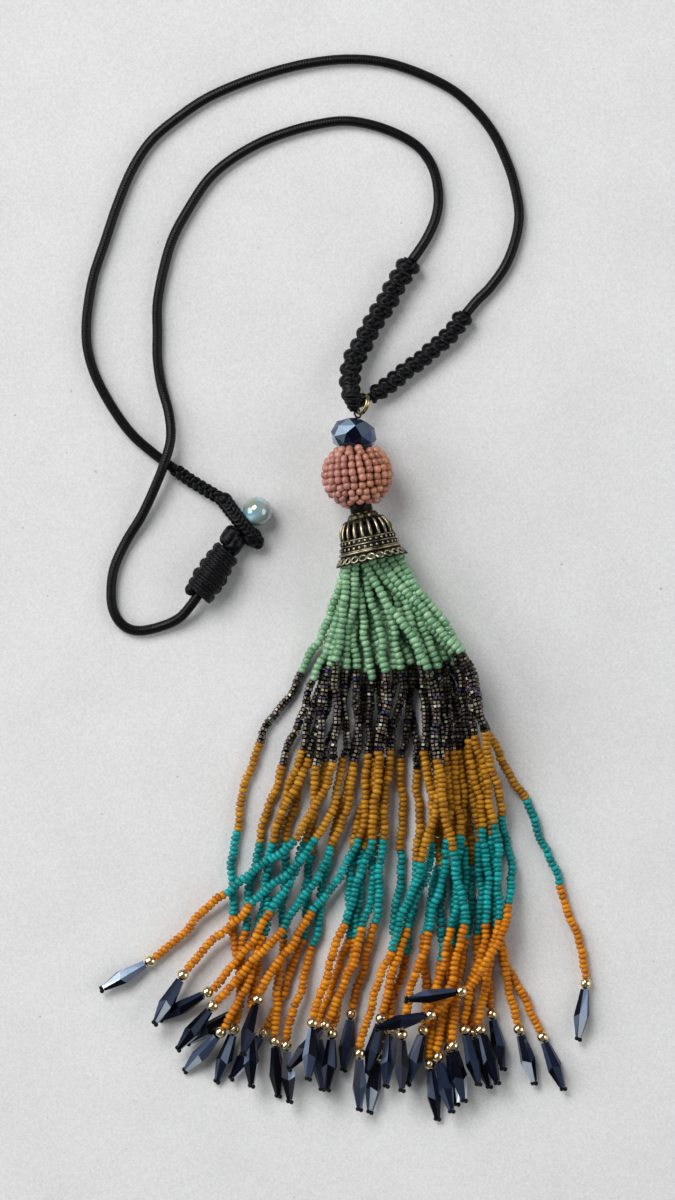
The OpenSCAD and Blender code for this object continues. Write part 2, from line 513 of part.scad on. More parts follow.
// The height at which a point of a strand must lie to clear one stretch of a lower strand
// Stations are [x, y, z, radius]
REACH = 9;                        // two pieces of thread further apart than this can't meet
NEAR_END = 4;                     // the last stations of a strand, which the straight ends of others can meet
ALL = 99;
function rest_on(p, r, a, b) =
    abs(p[0] - a[0]) > REACH || abs(p[1] - a[1]) > REACH ? 0 :
    let (run = flat(b) - flat(a), t = limited((p - flat(a)) * run / (run * run), 0, 1))
    let (low = a + t * (b - a))
    let (reach = r + low[3] + strand_gap, away = p - flat(low), rise = reach * reach - away * away)
    rise > 0 ? low[2] + sqrt(rise) : 0;
function rest_height(p, r, below, from, to) = max(concat([r], [for (low = below)
    let (last = len(low) - 2)
    each [for (m = [max(from, 0):min(to, last)]) rest_on(p, r, low[m], low[m + 1])]]));

// A strand seen from above: [x, y] at each of its stations
function strand_plan(row, start) =
    let (route = concat([start - 2 * cap_h * flat(CAP_WAY), start], row))
    concat(
        [for (i = [0:4], k = [0:SECTION_STEPS[i] - 1]) curve_point(route, i + 1, k / SECTION_STEPS[i])],
        [row[4]]);

// A strand's place in the mouth of the cap, which the layers fill from the bottom, each in its own order
function before(layer) = layer == 0 ? 0 : MOUTH_LAYERS[layer - 1] + before(layer - 1);
function layer_of(i, layer = 0) = i < before(layer + 1) ? layer : layer_of(i, layer + 1);
function across(i) = (STRANDS[i][0] - flat(MOUTH)) * flat(MOUTH_SIDE);
function mouth_place(i) =
    let (layer = layer_of(i), first = before(layer), size = MOUTH_LAYERS[layer])
    let (rank = len([for (j = [first:first + size - 1]) if (across(j) < across(i)) 1]))
    let (up = (layer + 0.25) * LAYER_RISE - MOUTH_FILL)
    let (half = sqrt(MOUTH_FILL * MOUTH_FILL - up * up))
    MOUTH + (2 * rank / (size - 1) - 1) * half * MOUTH_SIDE + [0, 0, up];

// The strand's end: the gold bead and the drop lie along one straight line
function tail_radius(s) = s < gold_d ? gold_d / 2 : drop_d / 2 * lookup((s - gold_d) / drop_l,
    [[0, DROP_TOP], [DROP_BELLY, 1], [1, DROP_TOE]]);
TAIL_STATIONS = [for (s = [gold_d / 2:TAIL_STEP:TAIL_L]) s];

// Lays one strand on those below it and returns its stations
// From the mouth to the end of the mint beads it comes down in one sweep, and past that it rests on the heap
function laid_strand(i, below) =
    let (row = STRANDS[i], start = mouth_place(i), plan = strand_plan(row, flat(start)))
    let (last = len(plan) - 1, first = SECTION_STEPS[0])
    let (way = unit(row[5] - row[4]))
    let (tail = [for (s = TAIL_STATIONS)
        rest_height(row[4] + s * way, tail_radius(s), below, last - NEAR_END, ALL)])
    let (end_need = max([for (j = [0:len(tail) - 1]) tail[j] - TAIL_SLOPE * TAIL_STATIONS[j]]))
    let (need = [for (k = [first:last]) max(
        rest_height(plan[k], STRAND_R, below, max(k - 3, first), k > last - NEAR_END ? ALL : k + 2),
        k == last ? max(end_need, tail[0]) : 0)])
    let (end = last - first)
    let (wide = [for (k = [0:end]) max(need[max(k - 1, 0)], need[k], need[min(k + 1, end)])])
    let (rest = [for (k = [0:end]) mean([wide[max(k - 1, 0)], wide[k], wide[min(k + 1, end)]])])
    let (sweep = [for (k = [0:first - 1]) rest[0] + (start[2] - rest[0]) * (1 + cos(180 * k / first)) / 2])
    let (z = concat(sweep, rest))
    let (slope = max([for (j = [1:len(tail) - 1]) (tail[j] - z[last]) / TAIL_STATIONS[j]]))
    concat(
        [for (k = [0:last]) [plan[k][0], plan[k][1], z[k], STRAND_R]],
        [for (s = TAIL_STATIONS) let (p = row[4] + s * way)
            [p[0], p[1], z[last] + slope * s, tail_radius(s)]]);
function heap(count, done = []) =
    len(done) == count ? done : heap(count, concat(done, [laid_strand(len(done), done)]));

BEAD_STATIONS = SECTION_STEPS * [1, 1, 1, 1, 1];  // number of the station where the beads end
function place(station) = [station[0], station[1], station[2]];
function tail_way(laid) = unit(place(laid[BEAD_STATIONS + 2]) - place(laid[BEAD_STATIONS + 1]));
function tail_start(laid) = place(laid[BEAD_STATIONS]);

// Puts a piece that is drawn along +X on the straight end of a strand
module on_tail(laid) {
    way = tail_way(laid);
    lay(tail_start(laid), atan2(way[1], way[0]), asin(way[2])) children();
}

// All strands, joined to a head inside the cap, each with its thread and the knot at its tip
module tassel() color("#3f8f7c") {
    heap = heap(STRAND_COUNT);
    lay_upright(CROWN, CAP_HEADING, CAP_RISE) translate([0, 0, HEAD_FROM * cap_h])
        cylinder(d = crown_d - 2 * cap_wall, h = (HEAD_TO - HEAD_FROM) * cap_h, $fn = 20);
    for (laid = heap) {
        start = place(laid[0]);
        root = start - MOUTH;
        gathered = CROWN + HEAD_ROOT * cap_h * CAP_WAY + HEAD_GATHER * root;
        waist = CROWN + WAIST * cap_h * CAP_WAY + WAIST_GATHER * root;
        way = tail_way(laid);
        end = tail_start(laid);
        tube(
            concat(
                [gathered, waist], [for (k = [0:BEAD_STATIONS - 1]) place(laid[k])],
                [end - STRAND_END * way, end, end + (TAIL_L + KNOT_BELLY * tip_knot_d) * way]),
            concat(
                [ROOT_R, TUBE_R], [for (k = [0:BEAD_STATIONS]) TUBE_R],
                [thread_d / 2, thread_d / 2]),
            STRAND_SIDES);
        on_tail(laid) translate([TAIL_L, 0, 0]) rotate([0, 90, 0]) rotate(KNOT_TURN) hull() {
            cylinder(d1 = 0, d2 = tip_knot_d, h = KNOT_BELLY * tip_knot_d, $fn = STRAND_SIDES);
            translate([0, 0, KNOT_BELLY * tip_knot_d])
                cylinder(d1 = tip_knot_d, d2 = 0, h = (1 - KNOT_BELLY) * tip_knot_d, $fn = STRAND_SIDES);
        }
    }
}

module gold_beads() color("#e8c977") for (laid = heap(STRAND_COUNT))
    on_tail(laid) translate([gold_d / 2 + TAIL_GAP, 0, 0]) rotate([0, 90, 0]) difference() {
        sphere(d = gold_d, $fn = 24);
        cylinder(d = THREAD_BORE, h = gold_d + 1, center = true, $fn = 16);
    }

module drop(number) color("#1d2433") {
    heap = heap(number);
    on_tail(heap[number - 1]) translate([gold_d + 2 * TAIL_GAP, 0, 0]) difference() {
        tube([[0, 0, 0], [DROP_BELLY * drop_l, 0, 0], [drop_l, 0, 0]],
            DROP_FLATS * drop_d / 2 * [DROP_TOP, 1, DROP_TOE], drop_sides);
        rotate([0, 90, 0]) translate([0, 0, -1]) cylinder(d = THREAD_BORE, h = drop_l + 2, $fn = 16);
    }
}
function drop_name(number) = str("drop_", number < 10 ? "0" : "", number);

cord_outer();
cord_inner();
sleeve_left();
sleeve_right();
ring_cord();
braided_sleeve();
button_loop();
button_bead();
button_shank();
barrel_knot();
jump_ring();
head_pin();
crystal_bead();
beaded_ball();
collar();
cap();
tassel();
gold_beads();
for (number = [1:STRAND_COUNT]) drop(number);
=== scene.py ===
import math
import random

import bpy
from mathutils import Matrix, Vector


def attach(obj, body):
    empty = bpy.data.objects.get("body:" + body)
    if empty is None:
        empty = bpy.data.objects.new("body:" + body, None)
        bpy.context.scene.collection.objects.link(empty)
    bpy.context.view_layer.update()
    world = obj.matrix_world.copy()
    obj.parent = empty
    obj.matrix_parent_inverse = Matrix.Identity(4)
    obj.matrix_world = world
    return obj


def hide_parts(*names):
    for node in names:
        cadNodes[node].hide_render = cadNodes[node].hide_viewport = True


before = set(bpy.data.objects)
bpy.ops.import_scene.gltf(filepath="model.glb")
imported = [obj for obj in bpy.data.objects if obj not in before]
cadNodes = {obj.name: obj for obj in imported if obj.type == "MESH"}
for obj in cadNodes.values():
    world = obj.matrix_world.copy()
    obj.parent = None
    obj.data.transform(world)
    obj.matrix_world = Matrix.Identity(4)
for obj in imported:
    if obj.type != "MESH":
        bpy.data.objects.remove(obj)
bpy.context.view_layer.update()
mm = 0.001
print("frame loaded:", len(cadNodes), "nodes")

# The camera looks straight down, as in the photograph

cameraSetup = {
    "middle": (-2.7, 40),  # what the middle of the picture shows, in mm
    "height": 2600,
    "pictureHeight": 312,  # the height of the picture on the surface
    "sensor": 36,
}


def addObject(name, data):
    made = bpy.data.objects.new(name, data)
    bpy.context.scene.collection.objects.link(made)
    return made


def placeCamera():
    data = bpy.data.cameras.new("camera")
    data.sensor_width = cameraSetup["sensor"]
    data.lens = cameraSetup["sensor"] * cameraSetup["height"] / cameraSetup["pictureHeight"]
    data.clip_start = 0.01
    camera = addObject("camera", data)
    x, y = cameraSetup["middle"]
    camera.location = Vector((x, y, cameraSetup["height"])) * mm
    bpy.context.scene.camera = camera


placeCamera()


# Every node is made here: its settings come first, then what its sockets hold or are linked to


def addNode(tree, kind, settings=None, values=None):
    made = tree.nodes.new(kind)
    for name, setting in (settings or {}).items():
        if name == "stops":
            ramp = made.color_ramp
            while len(ramp.elements) < len(setting):
                ramp.elements.new(1)
            for element, (place, colour) in zip(ramp.elements, setting):
                element.position = place
                element.color = (*colour, 1)
        else:
            setattr(made, name, setting)
    for slot, value in (values or {}).items():
        plug(tree, made.inputs[slot], value)
    return made


def plug(tree, socket, value):
    value = getattr(value, "socket", value)
    if isinstance(value, bpy.types.NodeSocket):
        tree.links.new(value, socket)
    else:
        socket.default_value = value


# Shader maths: a socket that can be added, multiplied and compared


class Value:
    def __init__(self, recipe, socket):
        self.recipe = recipe
        self.socket = socket

    def maths(self, operation, *others):
        return self.recipe.node("Math", {"operation": operation}, dict(enumerate([self, *others])))

    def __add__(self, other):
        return self.maths("ADD", other)

    def __sub__(self, other):
        return self.maths("SUBTRACT", other)

    def __mul__(self, other):
        return self.maths("MULTIPLY", other)

    def __rsub__(self, other):
        return self.recipe.node("Math", {"operation": "SUBTRACT"}, {0: other, 1: self})

    __radd__ = __add__
    __rmul__ = __mul__

    def wave(self):
        return self.maths("SINE")

    def above(self, edge, softness):
        ends = {0: self, 1: edge - softness, 2: edge + softness}
        return self.recipe.node("MapRange", {"clamp": True}, ends)


class Recipe:  # one material and the nodes that make it
    def __init__(self, name):
        self.material = bpy.data.materials.new(name)
        self.material.use_nodes = True
        self.tree = self.material.node_tree
        self.shader = self.tree.nodes["Principled BSDF"]

    def node(self, kind, settings=None, values=None, output=0):
        made = addNode(self.tree, "ShaderNode" + kind, settings, values)
        return Value(self, made.outputs[output])

    def place(self):
        return self.node("TexCoord", output="Object")

    def attribute(self, name):
        return self.node("Attribute", {"attribute_name": name}, output="Fac")

    def across(self):  # how far to the right a place lies, in metres
        return self.node("SeparateXYZ", None, {0: self.place()})

    def along(self):  # how far round its cord a place lies, and how far along it
        route = self.node("UVMap", {"uv_map": "route"})
        return (self.node("SeparateXYZ", None, {0: route}, output=k) for k in (0, 1))

    def speckle(self, name):
        scale, detail, roughness = grains[name]
        return self.node("TexNoise", None, {"Vector": self.place(), "Scale": scale, "Detail": detail,
                                            "Roughness": roughness})

    def ramp(self, value, name):
        return self.node("ValToRGB", {"stops": shades[name]}, {0: value})

    def mix(self, share, first, second):  # inputs 6 and 7 and output 2 are the Mix node's colours
        return self.node("Mix", {"data_type": "RGBA"}, {0: share, 6: first, 7: second}, output=2)

    def bump(self, height, depth):
        return self.node("Bump", None, {"Height": height, "Distance": depth * mm, "Strength": 1})

    def finish(self, colour, roughness=0.5, metallic=0, normal=None, **fixed):
        changing = {"Base Color": colour, "Roughness": roughness, "Metallic": metallic, "Normal": normal}
        for name, value in changing.items():
            if value is not None:
                plug(self.tree, self.shader.inputs[name], value)
        for name, value in fixed.items():
            self.shader.inputs[name.replace("_", " ")].default_value = value
        return self.material


# Grains, each with how fine it is, its detail and its roughness; then the colours, dark to light, each with
# its place on the ramp

grains = {
    "wax": (1400, 4, 0.7), "waxStreaks": (700, 3, 0.5), "fuzz": (1700, 4, 0.7), "beadMottle": (700, 2, 0.5),
    "roseMottle": (900, 3, 0.5), "irisHaze": (500, 2, 0.5), "metalWear": (450, 4, 0.6),
    "metalFine": (2400, 3, 0.5), "patinaWear": (380, 5, 0.65), "patinaFine": (1800, 3, 0.5),
    "crystalHaze": (160, 3, 0.5), "pearlBands": (190, 1, 0.5), "paperGrain": (1500, 3, 0.6),
    "paperCloud": (40, 3, 0.5), "paperFlecks": (620, 1, 0.5), "coreWeave": (1200, 3, 0.5),
}
shades = {
    "waxedCord": [(0.3, (0.002, 0.002, 0.0025)), (0.8, (0.009, 0.009, 0.01))],
    # The knotted cord's lightest stop is a painted highlight on the fibres
    "knottedCord": [(0.3, (0.001, 0.001, 0.0013)), (0.58, (0.004, 0.0042, 0.005)),
                    (0.8, (0.035, 0.036, 0.038))],
    "mintBead": [(0, (0.14, 0.31, 0.16)), (0.5, (0.21, 0.42, 0.23)), (1, (0.31, 0.54, 0.31))],
    "mustardBead": [(0, (0.30, 0.12, 0.004)), (0.5, (0.43, 0.18, 0.007)), (1, (0.56, 0.26, 0.015))],
    "tealBead": [(0, (0.0, 0.17, 0.165)), (0.5, (0.001, 0.27, 0.265)), (1, (0.006, 0.37, 0.37))],
    "orangeBead": [(0, (0.46, 0.13, 0.001)), (0.5, (0.62, 0.2, 0.0015)), (1, (0.76, 0.28, 0.004))],
    "pinkRose": [(0, (0.31, 0.115, 0.09)), (0.6, (0.46, 0.195, 0.15)), (1, (0.57, 0.27, 0.21))],
    "rustRose": [(0, (0.36, 0.125, 0.06)), (0.6, (0.53, 0.21, 0.10)), (1, (0.64, 0.28, 0.15))],
    "darkIrisBead": [
        (0, (0.01, 0.009, 0.008)), (0.2, (0.11, 0.09, 0.06)), (0.38, (0.04, 0.032, 0.026)),
        (0.55, (0.19, 0.18, 0.14)), (0.68, (0.085, 0.06, 0.05)), (0.8, (0.05, 0.035, 0.055)),
        (0.88, (0.012, 0.014, 0.06)), (0.93, (0.15, 0.115, 0.07)), (1, (0.27, 0.26, 0.22))],
    "darkCore": [(0.3, (0.006, 0.003, 0.002)), (0.7, (0.035, 0.016, 0.012))],
    "paleGold": [(0.3, (0.8, 0.62, 0.33)), (0.62, (0.92, 0.76, 0.45))],
    "antiqueBrass": [(0.3, (0.06, 0.05, 0.03)), (0.62, (0.54, 0.48, 0.32))],
    "darkFiligree": [(0.3, (0.012, 0.01, 0.007)), (0.62, (0.13, 0.11, 0.06))],
    "ringBrass": [(0.3, (0.16, 0.12, 0.06)), (0.62, (0.60, 0.48, 0.26))],
    "granuleBrass": [(0.3, (0.03, 0.027, 0.02)), (0.62, (0.6, 0.54, 0.38))],
    "blackPatina": [(0.4, (0.006, 0.0055, 0.005)), (0.62, (0.03, 0.026, 0.018)), (0.82, (0.16, 0.135, 0.08))],
    # The crystal ramps hold painted reflections, from black facets to a white glint
    "gunmetalCrystal": [(0.0, (0.004, 0.004, 0.012)), (0.3, (0.02, 0.035, 0.12)), (0.5, (0.24, 0.33, 0.40)),
                        (0.8, (0.42, 0.58, 0.75)), (1.0, (0.62, 0.85, 1.0))],
    "dropCrystal": [(0.0, (0.003, 0.003, 0.006)), (0.2, (0.006, 0.008, 0.022)), (0.45, (0.02, 0.03, 0.07)),
                    (0.65, (0.06, 0.078, 0.12)), (0.88, (0.08, 0.13, 0.25)), (1.0, (0.6, 0.7, 0.8))],
    # The aqua ramp is the bead's own iris with a painted sheen for its lit left side
    "aquaIrisSheen": [(0.32, (0.30, 0.33, 0.24)), (0.48, (0.16, 0.42, 0.58)), (0.62, (0.60, 0.86, 0.90))],
    "greyPearl": [(0.3, (0.30, 0.39, 0.38)), (0.7, (0.46, 0.55, 0.53))],
    "paleSurface": [(0.3, (0.60, 0.60, 0.596)), (0.7, (0.75, 0.75, 0.746))],
}
# The near black tone for the corners and rims of the cut beads is painted shade
tones = {"beadMottle": (0.02, 0.02, 0.02, 1), "roseMottle": (0.16, 0.05, 0.035, 1),
         "edgeAndRimShade": (0.004, 0.0035, 0.003, 1), "fleck": (0.25, 0.25, 0.25, 1)}

# Finishes of the cord, which read the piece's own route: u runs round it and v along it in mm

weaveSetup = {"turns": 5, "pitch": 1.4, "knottedPitch": 0.9}


def waxedCordFinish():
    recipe = Recipe("waxedCord")
    around, run = recipe.along()
    around, run = around * (math.tau * weaveSetup["turns"]), run * (math.tau / weaveSetup["pitch"])
    weave = (around + run).wave() * (around - run).wave() * 0.5 + 0.5
    wax = recipe.speckle("wax")
    colour = recipe.ramp(weave * 0.4 + wax * 0.6, "waxedCord")
    return recipe.finish(colour, 0.16 + wax * 0.24, 0, recipe.bump(weave * 0.5 + wax * 0.5, 0.09),
                         Specular_IOR_Level=0.13)


def knottedCordFinish(name="knottedCord", turns=3, depth=0.1, twisted=0.35):
    recipe = Recipe(name)
    around, run = recipe.along()
    around, run = around * (math.tau * turns), run * (math.tau / weaveSetup["knottedPitch"])
    twist = (around + run).wave() * 0.5 + 0.5
    threads = twist * twisted + recipe.speckle("fuzz") * (1 - twisted)
    # The lighter colour on the rising twist ridges and fuzz flecks is a painted highlight on the fibres, over
    # the cord's own dark speckle
    colour = recipe.ramp(threads, "knottedCord")
    return recipe.finish(colour, 0.55 - recipe.speckle("waxStreaks") * 0.4, 0, recipe.bump(threads, depth),
                         Specular_IOR_Level=0.1)


# Finishes of the beads: each bead carries its own tint, from 0 to 1


def opaqueBeadFinish(name, coat=0.06):
    recipe = Recipe(name)
    mottle = recipe.speckle("beadMottle")
    colour = recipe.ramp(recipe.attribute("tint"), name)
    colour = recipe.mix(mottle * 0.25, colour, tones["beadMottle"])
    return recipe.finish(colour, 0.2 + mottle * 0.12, 0, None, Coat_Weight=coat, Coat_Roughness=0.06,
                         Specular_IOR_Level=0.24)


def roseBeadFinish():  # pinker on the left of the ball, more of a rust on the right
    recipe = Recipe("roseBead")
    tint, mottle = recipe.attribute("tint"), recipe.speckle("roseMottle")
    pink, rust = recipe.ramp(tint, "pinkRose"), recipe.ramp(tint, "rustRose")
    colour = recipe.mix(recipe.across().above(0.0045, 0.006), pink, rust)
    colour = recipe.mix(mottle * 0.3, colour, tones["roseMottle"])
    return recipe.finish(colour, 0.3 + mottle * 0.2, 0, recipe.bump(mottle, 0.03), Coat_Weight=0.3,
                         Coat_Roughness=0.15)


def irisBeadFinish():  # each face of a cut bead takes the bead's own colour; the corners between faces and the rims are painted near black as shade
    recipe = Recipe("darkIrisBead")
    colour = recipe.ramp(recipe.attribute("tint"), "darkIrisBead")
    # Off the faces, the colour is painted near black, standing in for shade on the corners and rims
    colour = recipe.mix(recipe.attribute("facet"), tones["edgeAndRimShade"], colour)
    return recipe.finish(colour, 0.22 + recipe.speckle("irisHaze") * 0.1, 0.6, None, Specular_IOR_Level=0.25)


def darkCoreFinish():
    recipe = Recipe("darkCore")
    weave = recipe.speckle("coreWeave")
    return recipe.finish(recipe.ramp(weave, "darkCore"), 0.8, 0, recipe.bump(weave, 0.05),
                         Specular_IOR_Level=0.2)


def metalFinish(name, roughness, depth):
    recipe = Recipe(name)
    wear, fine = recipe.speckle("metalWear"), recipe.speckle("metalFine")
    bump = recipe.bump(wear * 0.6 + fine * 0.4, depth)
    return recipe.finish(recipe.ramp(wear, name), roughness + fine * 0.16, 1, bump)


def patinaFinish():
    recipe = Recipe("blackPatina")
    wear, fine = recipe.speckle("patinaWear"), recipe.speckle("patinaFine")
    return recipe.finish(recipe.ramp(wear, "blackPatina"), 0.36 + fine * 0.3, 0.9, recipe.bump(wear, 0.08))


def crystalFinish(name, metallic=0.7, roughness=0.12):  # each facet carries its own painted shade, dark or light as the reflection that it stands for
    recipe = Recipe(name)
    haze = recipe.speckle("crystalHaze")
    colour = recipe.ramp(recipe.attribute("facet") + haze * 0.06, name)
    return recipe.finish(colour, roughness + haze * 0.1, metallic, None, Specular_IOR_Level=0.3)


def aquaFinish():
    recipe = Recipe("aquaIris")
    bands = recipe.speckle("pearlBands")
    # The left side is painted with a bright aqua sheen where the light falls, over the bead's own iris bands;
    # the right side keeps the bead's grey
    paintedSheenSplit = recipe.across().above(-0.0235, 0.0022)
    colour = recipe.mix(paintedSheenSplit, recipe.ramp(bands, "aquaIrisSheen"), recipe.ramp(bands, "greyPearl"))
    return recipe.finish(colour, 0.1, 0.3, None, Coat_Weight=0.6, Coat_Roughness=0.09)


def surfaceFinish():  # pale pressed paper with a fine grain and a few dark flecks
    recipe = Recipe("paleSurface")
    grain = recipe.speckle("paperGrain")
    flecks = recipe.speckle("paperFlecks").above(0.8, 0.012)
    colour = recipe.ramp(grain * 0.75 + recipe.speckle("paperCloud") * 0.25, "paleSurface")
    colour = recipe.mix(flecks * 0.55, colour, tones["fleck"])
    return recipe.finish(colour, 0.85, 0, recipe.bump(grain, 0.09))


finishes = {
    "waxed": waxedCordFinish(),
    "knotted": knottedCordFinish(),
    "fuzzy": knottedCordFinish("fuzzyCord", 2, 0.12, 0.08),
    "wrapped": knottedCordFinish("wrappedCord", 4, 0.1),
    "mint": opaqueBeadFinish("mintBead", coat=0.7),
    "iris": irisBeadFinish(),
    "mustard": opaqueBeadFinish("mustardBead"),
    "teal": opaqueBeadFinish("tealBead"),
    "orange": opaqueBeadFinish("orangeBead"),
    "rose": roseBeadFinish(),
    "core": darkCoreFinish(),
    "gold": metalFinish("paleGold", 0.05, 0.01),
    "antique": metalFinish("antiqueBrass", 0.22, 0.06),
    "filigree": metalFinish("darkFiligree", 0.3, 0.08),
    "patina": patinaFinish(),
    "ring": metalFinish("ringBrass", 0.14, 0.02),
    "granule": metalFinish("granuleBrass", 0.22, 0.05),
    "gunmetal": crystalFinish("gunmetalCrystal"),
    "drop": crystalFinish("dropCrystal", metallic=0.55, roughness=0.17),
    "aqua": aquaFinish(),
    "surface": surfaceFinish(),
}
print("finishes made:", len(finishes))


# Paths in mm


def heading(turn, rise=0):  # a way, from degrees round the Z axis and degrees up
    turn, rise = math.radians(turn), math.radians(rise)
    return Vector((math.cos(turn) * math.cos(rise), math.sin(turn) * math.cos(rise), math.sin(rise)))


def curvePoint(route, i, t):  # a smooth curve through the route, at a place between point i and the next
    last = len(route) - 1
    a, b, c, d = (route[min(max(k, 0), last)] for k in (i - 1, i, i + 1, i + 2))
    return b + (c - a) * (t / 2) + (a - b * 2.5 + c * 2 - d / 2) * t**2 + ((b - c) * 1.5 + (d - a) / 2) * t**3


def smoothPath(points, step):  # the same curve in even steps
    route = [Vector(p) for p in points]
    fine = [curvePoint(route, i, k / 16) for i in range(len(route) - 1) for k in range(16)] + [route[-1]]
    runs = pathRuns(fine)
    count = max(1, round(runs[-1] / step))
    return [pointAt(fine, runs, runs[-1] * k / count) for k in range(count + 1)]


def pathRuns(path):
    runs = [0.0]
    for a, b in zip(path, path[1:]):
        runs.append(runs[-1] + (b - a).length)
    return runs


def pointAt(path, runs, run):
    low, high = 0, len(runs) - 1
    while high - low > 1:
        middle = (low + high) // 2
        low, high = (middle, high) if runs[middle] <= run else (low, middle)
    return path[low].lerp(path[high], (run - runs[low]) / max(runs[high] - runs[low], 1e-9))


def tangents(path, closed=False):
    count = len(path)
    if closed:
        return [(path[(i + 1) % count] - path[i - 1]).normalized() for i in range(count)]
    return [(path[min(i + 1, count - 1)] - path[max(i - 1, 0)]).normalized() for i in range(count)]


def polar(radius, angle, height=0.0):
    return Vector((radius * math.cos(angle), radius * math.sin(angle), height))


def circle(sides, radius=1.0, height=0.0, shift=0.0):
    return [polar(radius, math.tau * (k + shift) / sides, height) for k in range(sides)]


def neighbours(sides):
    return [(k, (k + 1) % sides) for k in range(sides)]


def sideways(way):
    return Vector((-way.y, way.x, 0)).normalized()


def roundOutline(radius, height, step, square=1.0):  # half an ellipse from pole to pole, or a squarer one
    outline = []
    for angle in (math.radians(a) for a in range(-90, 91, step)):
        rise = math.copysign(abs(math.sin(angle)) ** square, angle)
        outline.append((radius * math.cos(angle) ** square, height * rise))
    return outline


class Heap:  # gathers tubes and turned shapes, in mm, into one mesh in metres
    def __init__(self):
        self.points = []
        self.faces = []
        self.routes = []
        self.facets = {}

    def face(self, corners, route=(0, 0), facet=None):  # route is one place for all corners, or one for each
        if facet is not None:
            self.facets[len(self.faces)] = facet
        self.faces.append(corners)
        self.routes.append(route if isinstance(route, list) else [route] * len(corners))

    def lid(self, start, sides, order, route=(0, 0), facet=None):
        self.face(tuple(range(start, start + sides))[::order], route, facet)

    def tube(self, path, radius, sides=12, closed=False, side=None):
        first, count = len(self.points), len(path)
        radii = radius if isinstance(radius, list) else [radius] * count
        ways, runs = tangents(path, closed), pathRuns(path + path[:1])
        across = (side or ways[0].orthogonal()).normalized()
        for point, way, reach in zip(path, ways, radii):
            across = (across - way * across.dot(way)).normalized()
            up = way.cross(across)
            self.points += [point + (across * p.x + up * p.y) * reach for p in circle(sides)]
        for i in range(count if closed else count - 1):
            a, b = first + i * sides, first + (i + 1) % count * sides
            for k, n in neighbours(sides):
                near, far = k / sides, (k + 1) / sides
                self.face((a + k, a + n, b + n, b + k),
                          [(near, runs[i]), (far, runs[i]), (far, runs[i + 1]), (near, runs[i + 1])])
        if not closed:
            self.lid(first, sides, -1, (0.5, 0))
            self.lid(first + (count - 1) * sides, sides, 1, (0.5, runs[count - 1]))

    def turned(self, outline, sides, place=Matrix()):  # outline is [(radius, height)], from pole to pole
        rows = []
        for radius, height in outline:
            if radius < 1e-6:
                rows.append([len(self.points)] * sides)
                self.points.append(place @ Vector((0, 0, height)))
            else:
                rows.append([len(self.points) + k for k in range(sides)])
                self.points += [place @ p for p in circle(sides, radius, height)]
        for low, high, (_, height) in zip(rows, rows[1:], outline):
            for k, n in neighbours(sides):
                corners = tuple(dict.fromkeys((low[k], low[n], high[n], high[k])))
                self.face(corners, (k / sides, height))

    def stone(self, rows, sides, place, shade):
        # rows is [(height, radius)]; each row is turned by half a facet, and shade(row, k) tints a kite
        first = len(self.points)
        for i, (height, radius) in enumerate(rows):
            self.points += [place @ p for p in circle(sides, radius, height, i % 2 / 2)]
        for i in range(len(rows) - 1):
            for k, n in neighbours(sides):
                a, b = first + i * sides + k, first + i * sides + n
                c, d = a + sides, b + sides
                corners = ((a, b, c), (b, d, c)) if i % 2 == 0 else ((a, d, c), (a, b, d))
                bases = ((i, k), (i + 1, k)) if i % 2 == 0 else ((i + 1, k), (i, k))
                for corner, (row, kite) in zip(corners, bases):
                    self.face(corner, facet=shade(row, kite))
        self.lid(first + (len(rows) - 1) * sides, sides, 1, facet=shade(len(rows), 0))
        self.lid(first, sides, -1, facet=shade(-1, 0))

    def faceted(self, rows, shade, lidShade):  # rows are rings of corners, and shade(row, k) tints a face
        first, sides = len(self.points), len(rows[0])
        for row in rows:
            self.points += row
        for i in range(len(rows) - 1):
            for k, n in neighbours(sides):
                a, b = first + i * sides + k, first + i * sides + n
                self.face((a, b, b + sides, a + sides), facet=shade(i, k))
        self.lid(first + (len(rows) - 1) * sides, sides, 1, facet=lidShade)
        self.lid(first, sides, -1, facet=lidShade)

    def make(self, name, finish=None, smooth=True):
        mesh = bpy.data.meshes.new(name)
        mesh.from_pydata([p * mm for p in self.points], [], self.faces)
        layer = mesh.uv_layers.new(name="route")
        flat = [number for route in self.routes for corner in route for number in corner]
        layer.data.foreach_set("uv", flat)
        if self.facets:
            shades = mesh.attributes.new("facet", "FLOAT", "FACE")
            shades.data.foreach_set("value", [self.facets[k] for k in range(len(self.faces))])
        if finish:
            mesh.materials.append(finishes[finish])
        mesh.polygons.foreach_set("use_smooth", [smooth] * len(mesh.polygons))
        mesh.update()
        return addObject(name, mesh)


def dress(piece, slotName, *replaced):
    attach(piece, "root")
    if replaced:
        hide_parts(*replaced)
    return piece


def layUpright(point, turn, rise=0):  # puts what stands on the Z axis along a heading, at a point in mm
    place = Matrix.Translation(Vector(point)) @ Matrix.Rotation(math.radians(turn), 4, "Z")
    return place @ Matrix.Rotation(math.radians(-rise), 4, "Y") @ Matrix.Rotation(math.radians(90), 4, "Y")


# What repeats: a Geometry Nodes tree sets one shape at each place, turned and stretched as the place says


